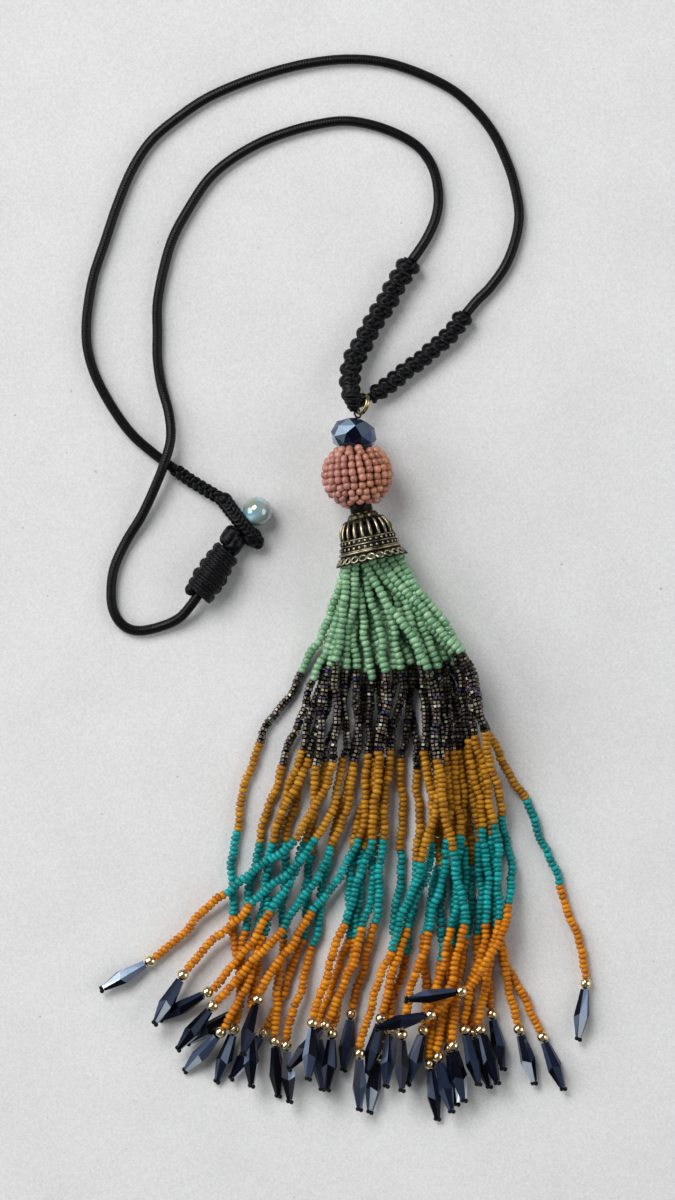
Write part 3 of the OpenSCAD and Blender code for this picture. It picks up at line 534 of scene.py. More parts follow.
def scatterTree():
    tree = bpy.data.node_groups.new("scatterPieces", "GeometryNodeTree")
    inputs = (("Places", "Geometry"), ("Shape", "Object"), ("Jitter", "Float"), ("Seed", "Int"),
              ("Finish", "Material"))
    for label, kind in inputs:
        tree.interface.new_socket(label, in_out="INPUT", socket_type="NodeSocket" + kind)
    tree.interface.new_socket("Pieces", in_out="OUTPUT", socket_type="NodeSocketGeometry")

    def node(kind, settings=None, values=None):
        return addNode(tree, kind, settings, values).outputs

    given = node("NodeGroupInput")
    shape = node("GeometryNodeObjectInfo", None, {"Object": given["Shape"]})["Geometry"]
    way, side, stretch = (
        node("GeometryNodeInputNamedAttribute", {"data_type": "FLOAT_VECTOR"}, {"Name": name})[0]
        for name in ("way", "side", "stretch"))
    turn = node("FunctionNodeAxesToRotation", {"primary_axis": "Z", "secondary_axis": "X"},
                {"Primary Axis": way, "Secondary Axis": side})[0]
    spread = node("ShaderNodeMath", {"operation": "SUBTRACT"}, {0: 1.0, 1: given["Jitter"]})[0]
    growth = node("FunctionNodeRandomValue", {"data_type": "FLOAT"},
                  {2: spread, 3: 1.0, "Seed": given["Seed"]})[1]
    grown = node("ShaderNodeVectorMath", {"operation": "SCALE"}, {0: stretch, "Scale": growth})[0]
    placed = node("GeometryNodeInstanceOnPoints", None, {
        "Points": given["Places"], "Instance": shape, "Rotation": turn, "Scale": grown})[0]
    tint = node("FunctionNodeRandomValue", {"data_type": "FLOAT"},
                {2: 0.0, 3: 1.0, "Seed": given["Seed"]})[1]
    tinted = node("GeometryNodeStoreNamedAttribute", {"data_type": "FLOAT", "domain": "INSTANCE"},
                  {"Geometry": placed, "Name": "tint", "Value": tint})[0]
    real = node("GeometryNodeRealizeInstances", None, {0: tinted})[0]
    done = node("GeometryNodeSetMaterial", None, {"Geometry": real, "Material": given["Finish"]})[0]
    node("NodeGroupOutput", None, {0: done})
    return tree


scatter = scatterTree()
scatterInputs = {item.name: item.identifier for item in scatter.interface.items_tree
                 if item.in_out == "INPUT"}


def scatterPieces(name, shape, places, finish, seed, jitter):
    # places is [(point, way, side, stretch)] in mm; the shape's Z follows way and its X follows side
    mesh = bpy.data.meshes.new(name + "Places")
    mesh.from_pydata([point * mm for point, *_ in places], [], [])
    for k, label in enumerate(("way", "side", "stretch"), 1):
        layer = mesh.attributes.new(label, "FLOAT_VECTOR", "POINT")
        layer.data.foreach_set("vector", [number for place in places for number in place[k]])
    holder = addObject(name + "Places", mesh)
    modifier = holder.modifiers.new("scatter", "NODES")
    modifier.node_group = scatter
    for label, value in (("Shape", shape), ("Jitter", jitter), ("Seed", seed),
                         ("Finish", finishes[finish])):
        modifier[scatterInputs[label]] = value
    graph = bpy.context.evaluated_depsgraph_get()
    result = bpy.data.meshes.new_from_object(holder.evaluated_get(graph))
    bpy.data.objects.remove(holder)
    for label in ("way", "side", "stretch"):
        if label in result.attributes:
            result.attributes.remove(result.attributes[label])
    result.name = name
    print(name, "made:", len(places), "pieces,", len(result.polygons), "faces")
    return addObject(name, result)


# Shapes that repeat, each 1 mm in size: its place stretches it

beadShape = {"sides": 10, "outline": [(0, -0.5), (0.22, -0.5), (0.39, -0.42), (0.5, -0.17),
                                      (0.5, 0.17), (0.39, 0.42), (0.22, 0.5), (0, 0.5)]}
cutShape = {"faces": 6, "edge": 9, "outline": [(0.34, -0.5), (0.5, -0.3), (0.5, 0.3), (0.34, 0.5)]}


def unitBead(name, sides, outline):
    heap = Heap()
    heap.turned(outline, sides)
    return heap.make(name)


def makeCutBead():  # faces in the bead's colour, with painted shade on the edge between each two and on the rims
    heap = Heap()
    count, edge = cutShape["faces"], cutShape["edge"]
    angles = [math.radians(360 / count * k + part) for k in range(count) for part in (-edge, edge)]
    rows = [[polar(radius, angle, height) for angle in angles] for radius, height in cutShape["outline"]]
    heap.faceted(rows, lambda i, k: 1.0 if i == 1 and k % 2 else 0.0, 0.0)
    return heap.make("cutBead", smooth=False)


roundBead = unitBead("roundBead", beadShape["sides"], beadShape["outline"])
cutBead = makeCutBead()
granule = unitBead("granule", 8, roundOutline(0.5, 0.5, 30))

# The runs of bare cord, with the points that they follow in mm

cordSetup = {"width": 2.6, "ringWidth": 2, "sides": 16, "step": 0.9}
cordRoutes = {
    "outer": [
        (30.5, 114.2, 2), (33.7, 118, 1.6), (37, 121.3, 1.3), (41, 127, 1.3), (43.5, 133.5, 1.3),
        (44.5, 140, 1.3), (43.5, 147, 1.3), (41.5, 153.5, 1.3), (38, 161, 1.3), (33, 167.5, 1.3),
        (26.5, 173, 1.3), (17, 177.5, 1.3), (8, 180, 1.3), (-1, 180.5, 1.3), (-10, 179.5, 1.3),
        (-18.5, 177.5, 1.3), (-27.5, 174.5, 1.3), (-36.5, 170.5, 1.3), (-44, 165.5, 1.3), (-51, 159.5, 1.3),
        (-56, 152, 1.3), (-60, 142.5, 1.3), (-63, 133.5, 1.3), (-66, 124.5, 1.3), (-67.5, 116.5, 1.3),
        (-68, 110, 1.3), (-67.5, 104.5, 1.3), (-65.5, 98, 1.3), (-61.5, 90.5, 1.3), (-56.5, 83.5, 1.3),
        (-51, 78.5, 1.3), (-45, 74, 1.3)],
    "inner": [
        (16.5, 128, 2.2), (20.5, 134, 1.6), (23, 140, 1.3), (23.5, 146, 1.3), (22, 152.5, 1.3),
        (18.5, 157.5, 1.3), (13, 161, 1.3), (6, 163.5, 1.3), (-1, 164.5, 1.3), (-8.5, 163.5, 1.3),
        (-16, 161.5, 1.3), (-23.5, 158.5, 1.3), (-31, 154, 1.3), (-36.5, 149, 1.3), (-41.5, 141.5, 1.3),
        (-45.5, 134, 1.3), (-48, 125.5, 1.3), (-49.5, 117, 1.3), (-49.5, 110, 1.3), (-49.5, 103, 1.3),
        (-48.5, 96, 1.3), (-46.5, 88.5, 2.4), (-46, 82, 3.6), (-47.5, 76, 4.1), (-50, 69.5, 3.5),
        (-53.5, 62, 2.3), (-57.5, 55.5, 1.3), (-60.5, 49, 1.3), (-61.5, 43, 1.3), (-61, 37.5, 1.3),
        (-58.5, 33.5, 1.3), (-54.5, 32, 1.3), (-49, 33, 1.3), (-44, 35.2, 2.2), (-40.8, 38.6, 3.6),
        (-38.6, 41.8, 3.9)],
    "ring": [
        (1.2, 92.2, 7), (1.8, 90.9, 6.9), (3, 90.8, 6.3), (4.1, 91.4, 5.1), (5.3, 92.5, 3.3),
        (6.6, 93.4, 2.5)],
    "loop": [
        (-32.2, 65.1, 1.5), (-29.8, 62.1, 1.3), (-27.4, 58.9, 1.3), (-25.4, 56.2, 1.4), (-23.9, 54.9, 2.2),
        (-23.2, 55, 3.6), (-24.2, 56.4, 4.9), (-26.6, 59.1, 5.9), (-28.9, 62.2, 5.6), (-31.4, 65.6, 4.1)],
    "left": [
        (16.5, 128, 2.6), (12.5, 122, 2.8), (10.5, 118, 2.8), (7.5, 113.5, 2.8), (5, 109, 2.9),
        (3, 105, 3.1), (1.2, 102, 3.6), (0.6, 98, 5), (0.6, 94.8, 6.4), (1.2, 92.2, 7)],
    "right": [
        (30.5, 114.2, 2.4), (26.5, 109, 2.5), (22.5, 105.5, 2.5), (18.5, 102, 2.5), (15.5, 100, 2.5),
        (12, 97, 2.5), (9, 94.8, 2.5), (6.6, 93.4, 2.5)],
    "braid": [
        (-45, 74, 1.8), (-41.5, 71.5, 1.8), (-38, 69.3, 1.8), (-34.8, 67.4, 2.1), (-32.4, 65.9, 2.6)],
}


def bareCord(name, route, width, *replaced, declared=True):
    path = smoothPath(cordRoutes[route], cordSetup["step"])
    heap = Heap()
    heap.tube(path, width / 2, cordSetup["sides"])
    piece = dress(heap.make(name, "waxed"), "waxed_cord", *replaced)
    if declared:
        metres = [p * mm for p in path]
        pathRuns(metres)[-1]


bareCord("cordOuter", "outer", cordSetup["width"], "cord_outer")
bareCord("cordInner", "inner", cordSetup["width"], "cord_inner")
bareCord("ringCord", "ring", cordSetup["ringWidth"], "ring_cord", declared=False)
print("cords laid")

# The knotted sleeves: a dark core, and on it one knot after another. Each knot is a fat wrap that leans up to
# the right, thicker on its left, with a thin wrap in the gap behind it

sleeveSetup = {"step": 0.8, "core": 0.35, "coreSides": 16, "lean": 21, "left": 0.56, "right": 0.48,
               "middle": 0.46, "depth": 0.84, "steps": 28, "thin": 0.27, "thinReach": 0.94, "thinAside": 0.1,
               "thinSteps": 24, "firstKnot": 1.07, "lastKnot": 0.93, "jitter": 0.05}
sleeves = {  # route, the node that it stands for, width, length of a knot, seed
    "sleeveLeft": ("left", "sleeve_left", 6.1, 3.5, 3),
    "sleeveRight": ("right", "sleeve_right", 5.2, 3, 4),
}
tipSetup = {"ends": ((1.1, 93.4, 7.1), (1.7, 88.9, 7)), "radii": (2.55, 1.15), "steps": 12, "power": 1.5,
            "wave": 0.15, "waveSteps": 4}


def makeKnot(name, width, pitch):
    setup = sleeveSetup
    heap = Heap()
    tilt = math.tan(math.radians(setup["lean"]))
    ring, radii = [], []
    for p in circle(setup["steps"]):
        side = setup["right"] + (setup["left"] - setup["right"]) * (0.5 + 0.5 * p.y)
        radius = pitch * (side * abs(p.y) + setup["middle"] * (1 - abs(p.y)))
        x, y = (width * setup["depth"] / 2 - radius) * p.x, (width / 2 - radius) * p.y
        ring.append(Vector((x, y, y * tilt)))
        radii.append(radius)
    heap.tube(ring, radii, 12, closed=True)
    reach = width * setup["thinReach"] / 2 - pitch * setup["thin"]
    thin = [Vector((p.x * setup["depth"], p.y - setup["thinAside"], pitch / 2 - p.y * tilt))
            for p in circle(setup["thinSteps"], reach)]
    heap.tube(thin, pitch * setup["thin"], 8, closed=True)
    return heap.make(name)


def makeSleeve(name, route, replaced, width, pitch, seed):
    setup = sleeveSetup
    path = smoothPath(cordRoutes[route], setup["step"])
    heap = Heap()
    heap.tube(path, width * setup["core"], setup["coreSides"])
    dress(heap.make(name + "Core", "knotted"), "knotted_cord", replaced)
    runs = pathRuns(path)
    count = round(runs[-1] / pitch)
    pitch = runs[-1] / count
    knot = makeKnot(name + "Knot", width, pitch)
    places = []
    for k in range(count):
        run = (k + 0.5) * pitch
        point = pointAt(path, runs, run)
        ahead, behind = pointAt(path, runs, min(run + 1, runs[-1])), pointAt(path, runs, max(run - 1, 0))
        way = (ahead - behind).normalized()
        side = Vector((0, 0, 1)) - way * way.z
        grow = setup["firstKnot"] if k == 0 else setup["lastKnot"] if k == count - 1 else 1.0
        places.append((point, way, side, (grow, grow, 1.0)))
    piece = scatterPieces(name, knot, places, "wrapped", seed, setup["jitter"])
    bpy.data.objects.remove(knot)
    dress(piece, "knotted_cord", replaced)


def makeSleeveTip():  # the left sleeve's last wraps, which narrow over the cord in the ring
    setup = tipSetup
    start, end = (Vector(place) for place in setup["ends"])
    wide, narrow = setup["radii"]
    path, radii = [], []
    for k in range(setup["steps"] + 1):
        share = k / setup["steps"]
        path.append(start.lerp(end, share))
        wave = setup["wave"] * math.sin(math.tau * k / setup["waveSteps"])
        radii.append(wide + (narrow - wide) * share ** setup["power"] + wave)
    heap = Heap()
    heap.tube(path, radii, 16)
    dress(heap.make("sleeveTip", "knotted"), "knotted_cord")


for name, settings in sleeves.items():
    makeSleeve(name, *settings)
makeSleeveTip()


# The braided end of the cord and the clasp's loop: three strands that cross in turn

braidSetup = {"strand": 0.72, "reach": 1.1, "rise": 0.5, "pitch": 5.2, "step": 0.25}
loopSetup = {"strand": 0.82, "reach": 0.88, "rise": 0.4, "pitch": 3.8, "step": 0.25}


def makeBraid(name, route, setup, *tags):
    path = smoothPath(cordRoutes[route], setup["step"])
    ways, runs = tangents(path), pathRuns(path)
    heap = Heap()
    for k in range(3):
        strand = []
        for point, way, run in zip(path, ways, runs):
            phase = math.tau * (run / setup["pitch"] + k / 3)
            shift = sideways(way) * (setup["reach"] * math.sin(phase))
            strand.append(point + shift + Vector((0, 0, setup["rise"] * math.sin(2 * phase))))
        heap.tube(strand, setup["strand"], 10)
    dress(heap.make(name, "knotted"), *tags)


makeBraid("braid", "braid", braidSetup, "knotted_cord", "braided_sleeve")
makeBraid("buttonLoop", "loop", loopSetup, "waxed_cord", "button_loop")

# The clasp's stem with its lump, and the barrel of wound cord behind it

claspSetup = {
    "button": (-23.5, 63, 3.8), "buttonHeading": 51, "buttonWidth": 7.6, "stem": 0.75, "stemStep": 0.7,
    "inBarrel": 1, "inButton": 0.5,  # how deep the stem's ends go
    # each lump has its place, radius and stretch
    "lumps": [((-30.4, 56.4, 3.5), 2.5, 1.15), ((-29.6, 54.6, 3.4), 2.5, 1.2)], "squareness": 0.6,
    "ends": [((-24.8, 56.3, 3.5), 2.6, 0.95), ((-31.9, 66.1, 3), 1.85, 1.1)],
}
barrelSetup = {
    "middle": (-35, 47.2, 4.25), "heading": 56.5, "length": 13.6, "width": 8.6, "wraps": 5, "lean": 10,
    "leanSpread": 5, "threads": 3, "thread": 0.4, "arch": 0.5, "spread": 0.95, "uneven": 0.06, "steps": 28,
    "drawnIn": ((0.12, 6), (0.2, 3)),  # how far and how sharply its foot and its head draw in
    "lobe": 1.5, "lobeReach": 0.9, "lobeSpread": (0.86, 1.1), "lobeTurn": 20, "lobeStretch": 1.1,
    "heart": 0.34, "heartSteps": 10, "heartInset": 0.02, "heartFullness": 8, "tail": 1.6, "tailAside": 0.27,
    "seed": 17,
}


def roundLump(heap, place, radius, stretch, sides=18, square=1.0):
    heap.turned(roundOutline(radius, radius * stretch, 15, square), sides, place)


def makeStem():
    setup = claspSetup
    turn = barrelSetup["heading"]
    reach = barrelSetup["length"] / 2 - setup["inBarrel"]
    barrelHead = Vector(barrelSetup["middle"]) + heading(turn) * reach
    (first, *_), (second, *_) = setup["lumps"]
    button = Vector(setup["button"])
    top = button + heading(setup["buttonHeading"]) * (setup["buttonWidth"] / 2 - setup["inButton"])
    route = [barrelHead, (Vector(first) + Vector(second)) / 2, button, top]
    heap = Heap()
    heap.tube(smoothPath(route, setup["stemStep"]), setup["stem"])
    for place, radius, stretch in setup["lumps"]:
        roundLump(heap, layUpright(place, turn), radius, stretch, square=setup["squareness"])
    dress(heap.make("buttonStem", "wrapped"), "waxed_cord", "button_shank")
    heap = Heap()
    for place, radius, stretch in setup["ends"]:
        roundLump(heap, layUpright(place, turn - 90), radius, stretch)
    dress(heap.make("loopEnd", "fuzzy"), "waxed_cord")


def makeBarrel():
    setup = barrelSetup
    turn, length, half = setup["heading"], setup["length"], setup["width"] / 2
    way, side, up = heading(turn), heading(turn + 90), Vector((0, 0, 1))
    foot = Vector(setup["middle"]) - way * (length / 2)
    wrap = length / setup["wraps"] / 2
    chance = random.Random(setup["seed"])

    def swell(share):
        (low, lowPower), (high, highPower) = setup["drawnIn"]
        return 1 - low * (1 - share) ** lowPower - high * share ** highPower

    heap = Heap()
    for k in range(setup["wraps"]):
        share = (k + 0.5) / setup["wraps"]
        spread = setup["leanSpread"]
        lean = math.tan(math.radians(setup["lean"] + chance.uniform(-spread, spread)))
        for n in range(setup["threads"]):
            aside = (n + 0.5) / setup["threads"] * 2 - 1
            reach = (half - wrap * setup["thread"]) * swell(share) - setup["arch"] * aside * aside
            run = share * length + aside * wrap * setup["spread"]
            loop = []
            for p in circle(setup["steps"]):
                wide = reach + chance.uniform(-setup["uneven"], setup["uneven"])
                loop.append(foot + way * (run + lean * wide * p.x) + (side * p.x + up * p.y) * wide)
            heap.tube(loop, wrap * setup["thread"], 8, closed=True)
        for hand in (-1, 1):
            reach = (half - setup["lobe"] * setup["lobeReach"]) * swell(share)
            place = foot + way * (share * length + hand * lean * reach) + side * (hand * reach)
            size = setup["lobe"] * chance.uniform(*setup["lobeSpread"])
            lobe = layUpright(place, turn + hand * setup["lobeTurn"])
            roundLump(heap, lobe, size, setup["lobeStretch"], 12)
    heart, inset = half - wrap * setup["heart"], setup["heartInset"]
    outline = []
    for share in (k / setup["heartSteps"] for k in range(setup["heartSteps"] + 1)):
        radius = heart * swell(share) * math.sqrt(1 - abs(2 * share - 1) ** setup["heartFullness"])
        outline.append((radius, length * (inset + (1 - 2 * inset) * share)))
    heap.turned(outline, 20, layUpright(foot, turn))
    place = foot + side * (setup["tailAside"] * setup["width"])
    roundLump(heap, layUpright(place, turn), setup["tail"], setup["lobeStretch"])
    dress(heap.make("barrel", "wrapped"), "waxed_cord", "barrel_knot")


makeStem()
makeBarrel()
print("sleeves and clasp made")


# The crystal, cut in kites round its widest row, and the ball of rose beads over a dark core

crystalSetup = {
    "width": 12, "height": 7.4, "nest": 2.4, "turn": -100, "tilt": 26, "sides": 8, "table": 0.53,
    "bezel": 0.89, "bezelAt": 0.3, "seed": 3, "chances": (0.1, 0.3, 0.45, 0.55, 0.7),
    # painted reflections of the kites that face up, dark or light, by row and place; the others are drawn by
    # chance
    "shades": {(1, 3): 0.1, (3, 3): 0.0, (2, 4): 0.72, (2, 3): 0.4, (1, 4): 0.3, (1, 2): 0.3, (3, 4): 0.42,
               (3, 2): 0.3, (2, 5): 0.3, (2, 2): 0.3},
}
ballSetup = {
    "centre": (2.4, 72.4, 9.5), "turn": -83, "width": 19, "height": 18.2, "columns": 24, "beadWidth": 2.35,
    "beadLength": 1.85, "tightest": 0.74, "widest": 1.08, "equator": 0.15, "apart": 0.93, "longer": 1.08,
    "turnSpread": 0.025, "riseSpread": 0.02, "coreInset": 0.2, "smallestRing": 0.9, "overlap": 1.02,
    "lengths": (0.9, 1.02), "seed": 11, "tintSeed": 12, "jitter": 0.06,
    "roomBelow": 0.5, "roomAside": 0.35, "roomTaper": 0.5,  # room left for the crystal
}
neckSetup = {"width": 5.8, "notch": 1.7, "reach": (-2.2, -1, 0.6)}
capLean = {"turn": -78, "rise": 0.4244}  # the way of the cap's axis, in degrees
capWay = heading(**capLean)
ballAxis = heading(ballSetup["turn"]) * (ballSetup["height"] / 2)
ballTop = Vector(ballSetup["centre"]) - ballAxis
ballFoot = Vector(ballSetup["centre"]) + ballAxis
crystalWay = heading(crystalSetup["turn"], crystalSetup["tilt"])
crystalMiddle = ballTop - crystalWay * (crystalSetup["height"] / 2 - crystalSetup["nest"])


def makeCrystal():
    setup = crystalSetup
    chance = random.Random(setup["seed"])
    half, radius = setup["height"] / 2, setup["width"] / 2
    bezelAt, bezel = setup["height"] * setup["bezelAt"], radius * setup["bezel"]
    table = radius * setup["table"]
    rows = [(-half, table), (-bezelAt, bezel), (0, radius), (bezelAt, bezel), (half, table)]
    # each kite's painted reflection, drawn by chance unless the setup gives it
    drawn = {(row, k): chance.choice(setup["chances"]) for row in range(-1, 6)
             for k in range(setup["sides"])}
    drawn.update(setup["shades"])
    heap = Heap()
    heap.stone(rows, setup["sides"], layUpright(crystalMiddle, setup["turn"], setup["tilt"]),
               lambda row, k: drawn[row, k])
    dress(heap.make("crystal", "gunmetal", smooth=False), "gunmetal_crystal", "crystal_bead")


def makeBall():
    setup = ballSetup
    chance = random.Random(setup["seed"])
    place = layUpright(setup["centre"], setup["turn"])
    turnOnly = place.to_3x3()
    reach, rise = ((setup[size] - setup["beadWidth"]) / 2 for size in ("width", "height"))
    heap = Heap()
    inset = setup["coreInset"]
    heap.turned(roundOutline(reach - inset, rise - inset, 10), 40, place)
    dress(heap.make("ballCore", "core"), "rose_beads", "beaded_ball")
    rowCount = round(math.pi * (reach + rise) / 2 / setup["beadLength"])
    places = []
    for row in range(rowCount):
        polarTurn = math.radians(-90 + 180 * (row + 0.5) / rowCount)
        ring = reach * math.cos(polarTurn)
        columns = setup["columns"]
        while columns > 3 and math.tau * ring / setup["beadWidth"] < columns * setup["tightest"]:
            columns = columns // 2 if columns % 2 == 0 else columns - 1
        if ring < setup["smallestRing"]:
            continue
        width = min(setup["beadWidth"] * setup["widest"], math.tau * ring / columns * setup["overlap"])
        length = setup["beadLength"]
        upper = polarTurn <= setup["equator"]  # straight columns here, and beads like bricks below
        if upper:
            width, length = width * setup["apart"], length * setup["longer"]
        for k in range(columns):
            shift = 0.5 if upper else 0.5 + 0.5 * (row % 2)
            turn = math.tau * (k + shift) / columns + chance.uniform(-1, 1) * setup["turnSpread"]
            up = polarTurn + chance.uniform(-1, 1) * setup["riseSpread"] * (1 if upper else 2)
            out = polar(math.cos(up), turn, math.sin(up))
            centre = place @ Vector((reach * out.x, reach * out.y, rise * out.z))
            way = turnOnly @ polar(-math.sin(up), turn, math.cos(up))
            if nearCrystal(centre) or nearNeck(centre):
                continue
            stretch = (setup["beadWidth"], width, length * chance.uniform(*setup["lengths"]))
            places.append((centre, way, turnOnly @ out, stretch))
    beads = scatterPieces("ballBeads", roundBead, places, "rose", setup["tintSeed"], setup["jitter"])
    dress(beads, "rose_beads", "beaded_ball")


def alongAndAside(point, foot, way):
    away = point - foot
    along = away.dot(way)
    return along, (away - way * along).length


def nearCrystal(point):
    along, aside = alongAndAside(point, crystalMiddle, crystalWay)
    low = crystalSetup["height"] / 2 + ballSetup["roomBelow"]
    wide = crystalSetup["width"] / 2 + ballSetup["roomAside"] - max(along, 0) * ballSetup["roomTaper"]
    return along < low and aside < wide


def nearNeck(point):
    along, aside = alongAndAside(point, ballFoot, capWay)
    return along > -neckSetup["notch"] and aside < neckSetup["width"] / 2


def makeNeck():  # the collar's dark neck, which stands in a notch of the ball
    heap = Heap()
    heap.tube([ballFoot + capWay * along for along in neckSetup["reach"]], neckSetup["width"] / 2, 24)
    dress(heap.make("collarNeck", "patina"), "antique_brass")


makeCrystal()
makeBall()
makeNeck()


# The bright work on the bell cap: ribs, granules, eyelets and rings. Its dark wall is the part's own

capSetup = {
    "length": 11.4, "crownGap": 2.1, "ribs": 20, "ribSeed": 21,
    # the profile, rings and ribs by their share of the cap's length, with widths in mm
    "profile": [(0, 8.6), (0.04, 10.4), (0.12, 11.9), (0.25, 13.3), (0.4, 13.8), (0.46, 13.7), (0.72, 15.3),
                (0.74, 16), (0.77, 16), (0.79, 15.7), (1, 19.2)],
    "ribFrom": 0.025, "ribTo": 0.45, "ribRadii": [0.16, 0.24, 0.31, 0.36, 0.38, 0.38, 0.36, 0.3, 0.2],
    # rows (place and shift), how many in each, lift, stretch, seed, spread of size
    "capGranules": (((0.51, 0.51), (0.65, 0.65)), 30, 0.1, (0.8, 0.9, 0.9), 22, 0.15),
    "capEyelets": (((0.9, 0),), 24, 0.05, (1.1, 1.9, 1.75), 23, 0.05),
    "rings": ((0.46, 0.17), (0.58, 0.13), (0.715, 0.13), (0.755, 0.3)), "ringSteps": 72, "ringLift": 0.2,
    "ribLift": 0.05, "eyeletWire": 0.16, "heartWidth": 11.6,
    "heart": [(0, 0.09), (0.36, 0.1), (0.46, 0.2), (0.49, 0.42), (0.44, 0.5), (0, 0.52)],
}
crown = ballFoot + capWay * capSetup["crownGap"]
mouth = crown + capWay * capSetup["length"]
capPlace = layUpright(crown, **capLean)


def capRadius(share):
    profile = capSetup["profile"]
    for (low, first), (high, second) in zip(profile, profile[1:]):
        if share <= high:
            return (first + (second - first) * max(share - low, 0) / (high - low)) / 2
    return profile[-1][1] / 2


def onCap(share, turn, lift=0.0):  # a point on the cap, with the ways out of it and along it
    out = polar(1, math.radians(turn))
    slope = out * (capRadius(share + 0.05) - capRadius(share - 0.05))
    slope.z = capSetup["length"] * 0.1
    point = out * (capRadius(share) + lift)
    point.z = share * capSetup["length"]
    turned = capPlace.to_3x3()
    return capPlace @ point, turned @ out, (turned @ slope).normalized()


def scatterOnCap(name, shape):
    rows, count, lift, stretch, seed, jitter = capSetup[name]
    places = []
    for share, shift in rows:
        for k in range(count):
            point, out, way = onCap(share, 360 * (k + shift) / count, lift)
            places.append((point, way, out, stretch))
    dress(scatterPieces(name, shape, places, "granule", seed, jitter), "antique_brass")


def makeRibs():
    setup = capSetup
    last = len(setup["ribRadii"]) - 1
    shares = [setup["ribFrom"] + (setup["ribTo"] - setup["ribFrom"]) * k / last for k in range(last + 1)]
    spine = [capPlace.inverted() @ onCap(share, 0, setup["ribLift"])[0] for share in shares]
    heap = Heap()
    heap.tube(spine, setup["ribRadii"], 10, side=Vector((0, 1, 0)))
    rib = heap.make("rib")
    axis = capPlace.to_3x3() @ Vector((0, 0, 1))
    places = []
    for k in range(setup["ribs"]):
        out = onCap(0.3, 360 * (k + 0.5) / setup["ribs"])[1]
        places.append((crown, axis, out, (1.0, 1.0, 1.0)))
    dress(scatterPieces("capRibs", rib, places, "antique", setup["ribSeed"], 0.0), "antique_brass")
    bpy.data.objects.remove(rib)


def makeBrightwork():
    setup = capSetup
    heap = Heap()
    heap.tube([Vector((0, p.x, p.y)) for p in circle(16, 0.5)], setup["eyeletWire"], 8, closed=True)
    eyelet = heap.make("eyelet")
    makeRibs()
    scatterOnCap("capGranules", granule)
    scatterOnCap("capEyelets", eyelet)
    bpy.data.objects.remove(eyelet)
    heap = Heap()
    for share, width in setup["rings"]:
        turns = (360 * k / setup["ringSteps"] for k in range(setup["ringSteps"]))
        heap.tube([onCap(share, turn, width * setup["ringLift"])[0] for turn in turns], width, 8, closed=True)
    dress(heap.make("capRings", "antique"), "antique_brass")
    heap = Heap()
    wide = setup["heartWidth"]
    heap.turned(setup["heart"], 32, capPlace @ Matrix.Diagonal((wide, wide, setup["length"], 1)))
    dress(heap.make("capHeart", "wrapped"), "waxed_cord")


makeBrightwork()
print("ball and cap made")


# The tassel: each strand lies on those below it, from the cap's mouth to its gold bead and drop

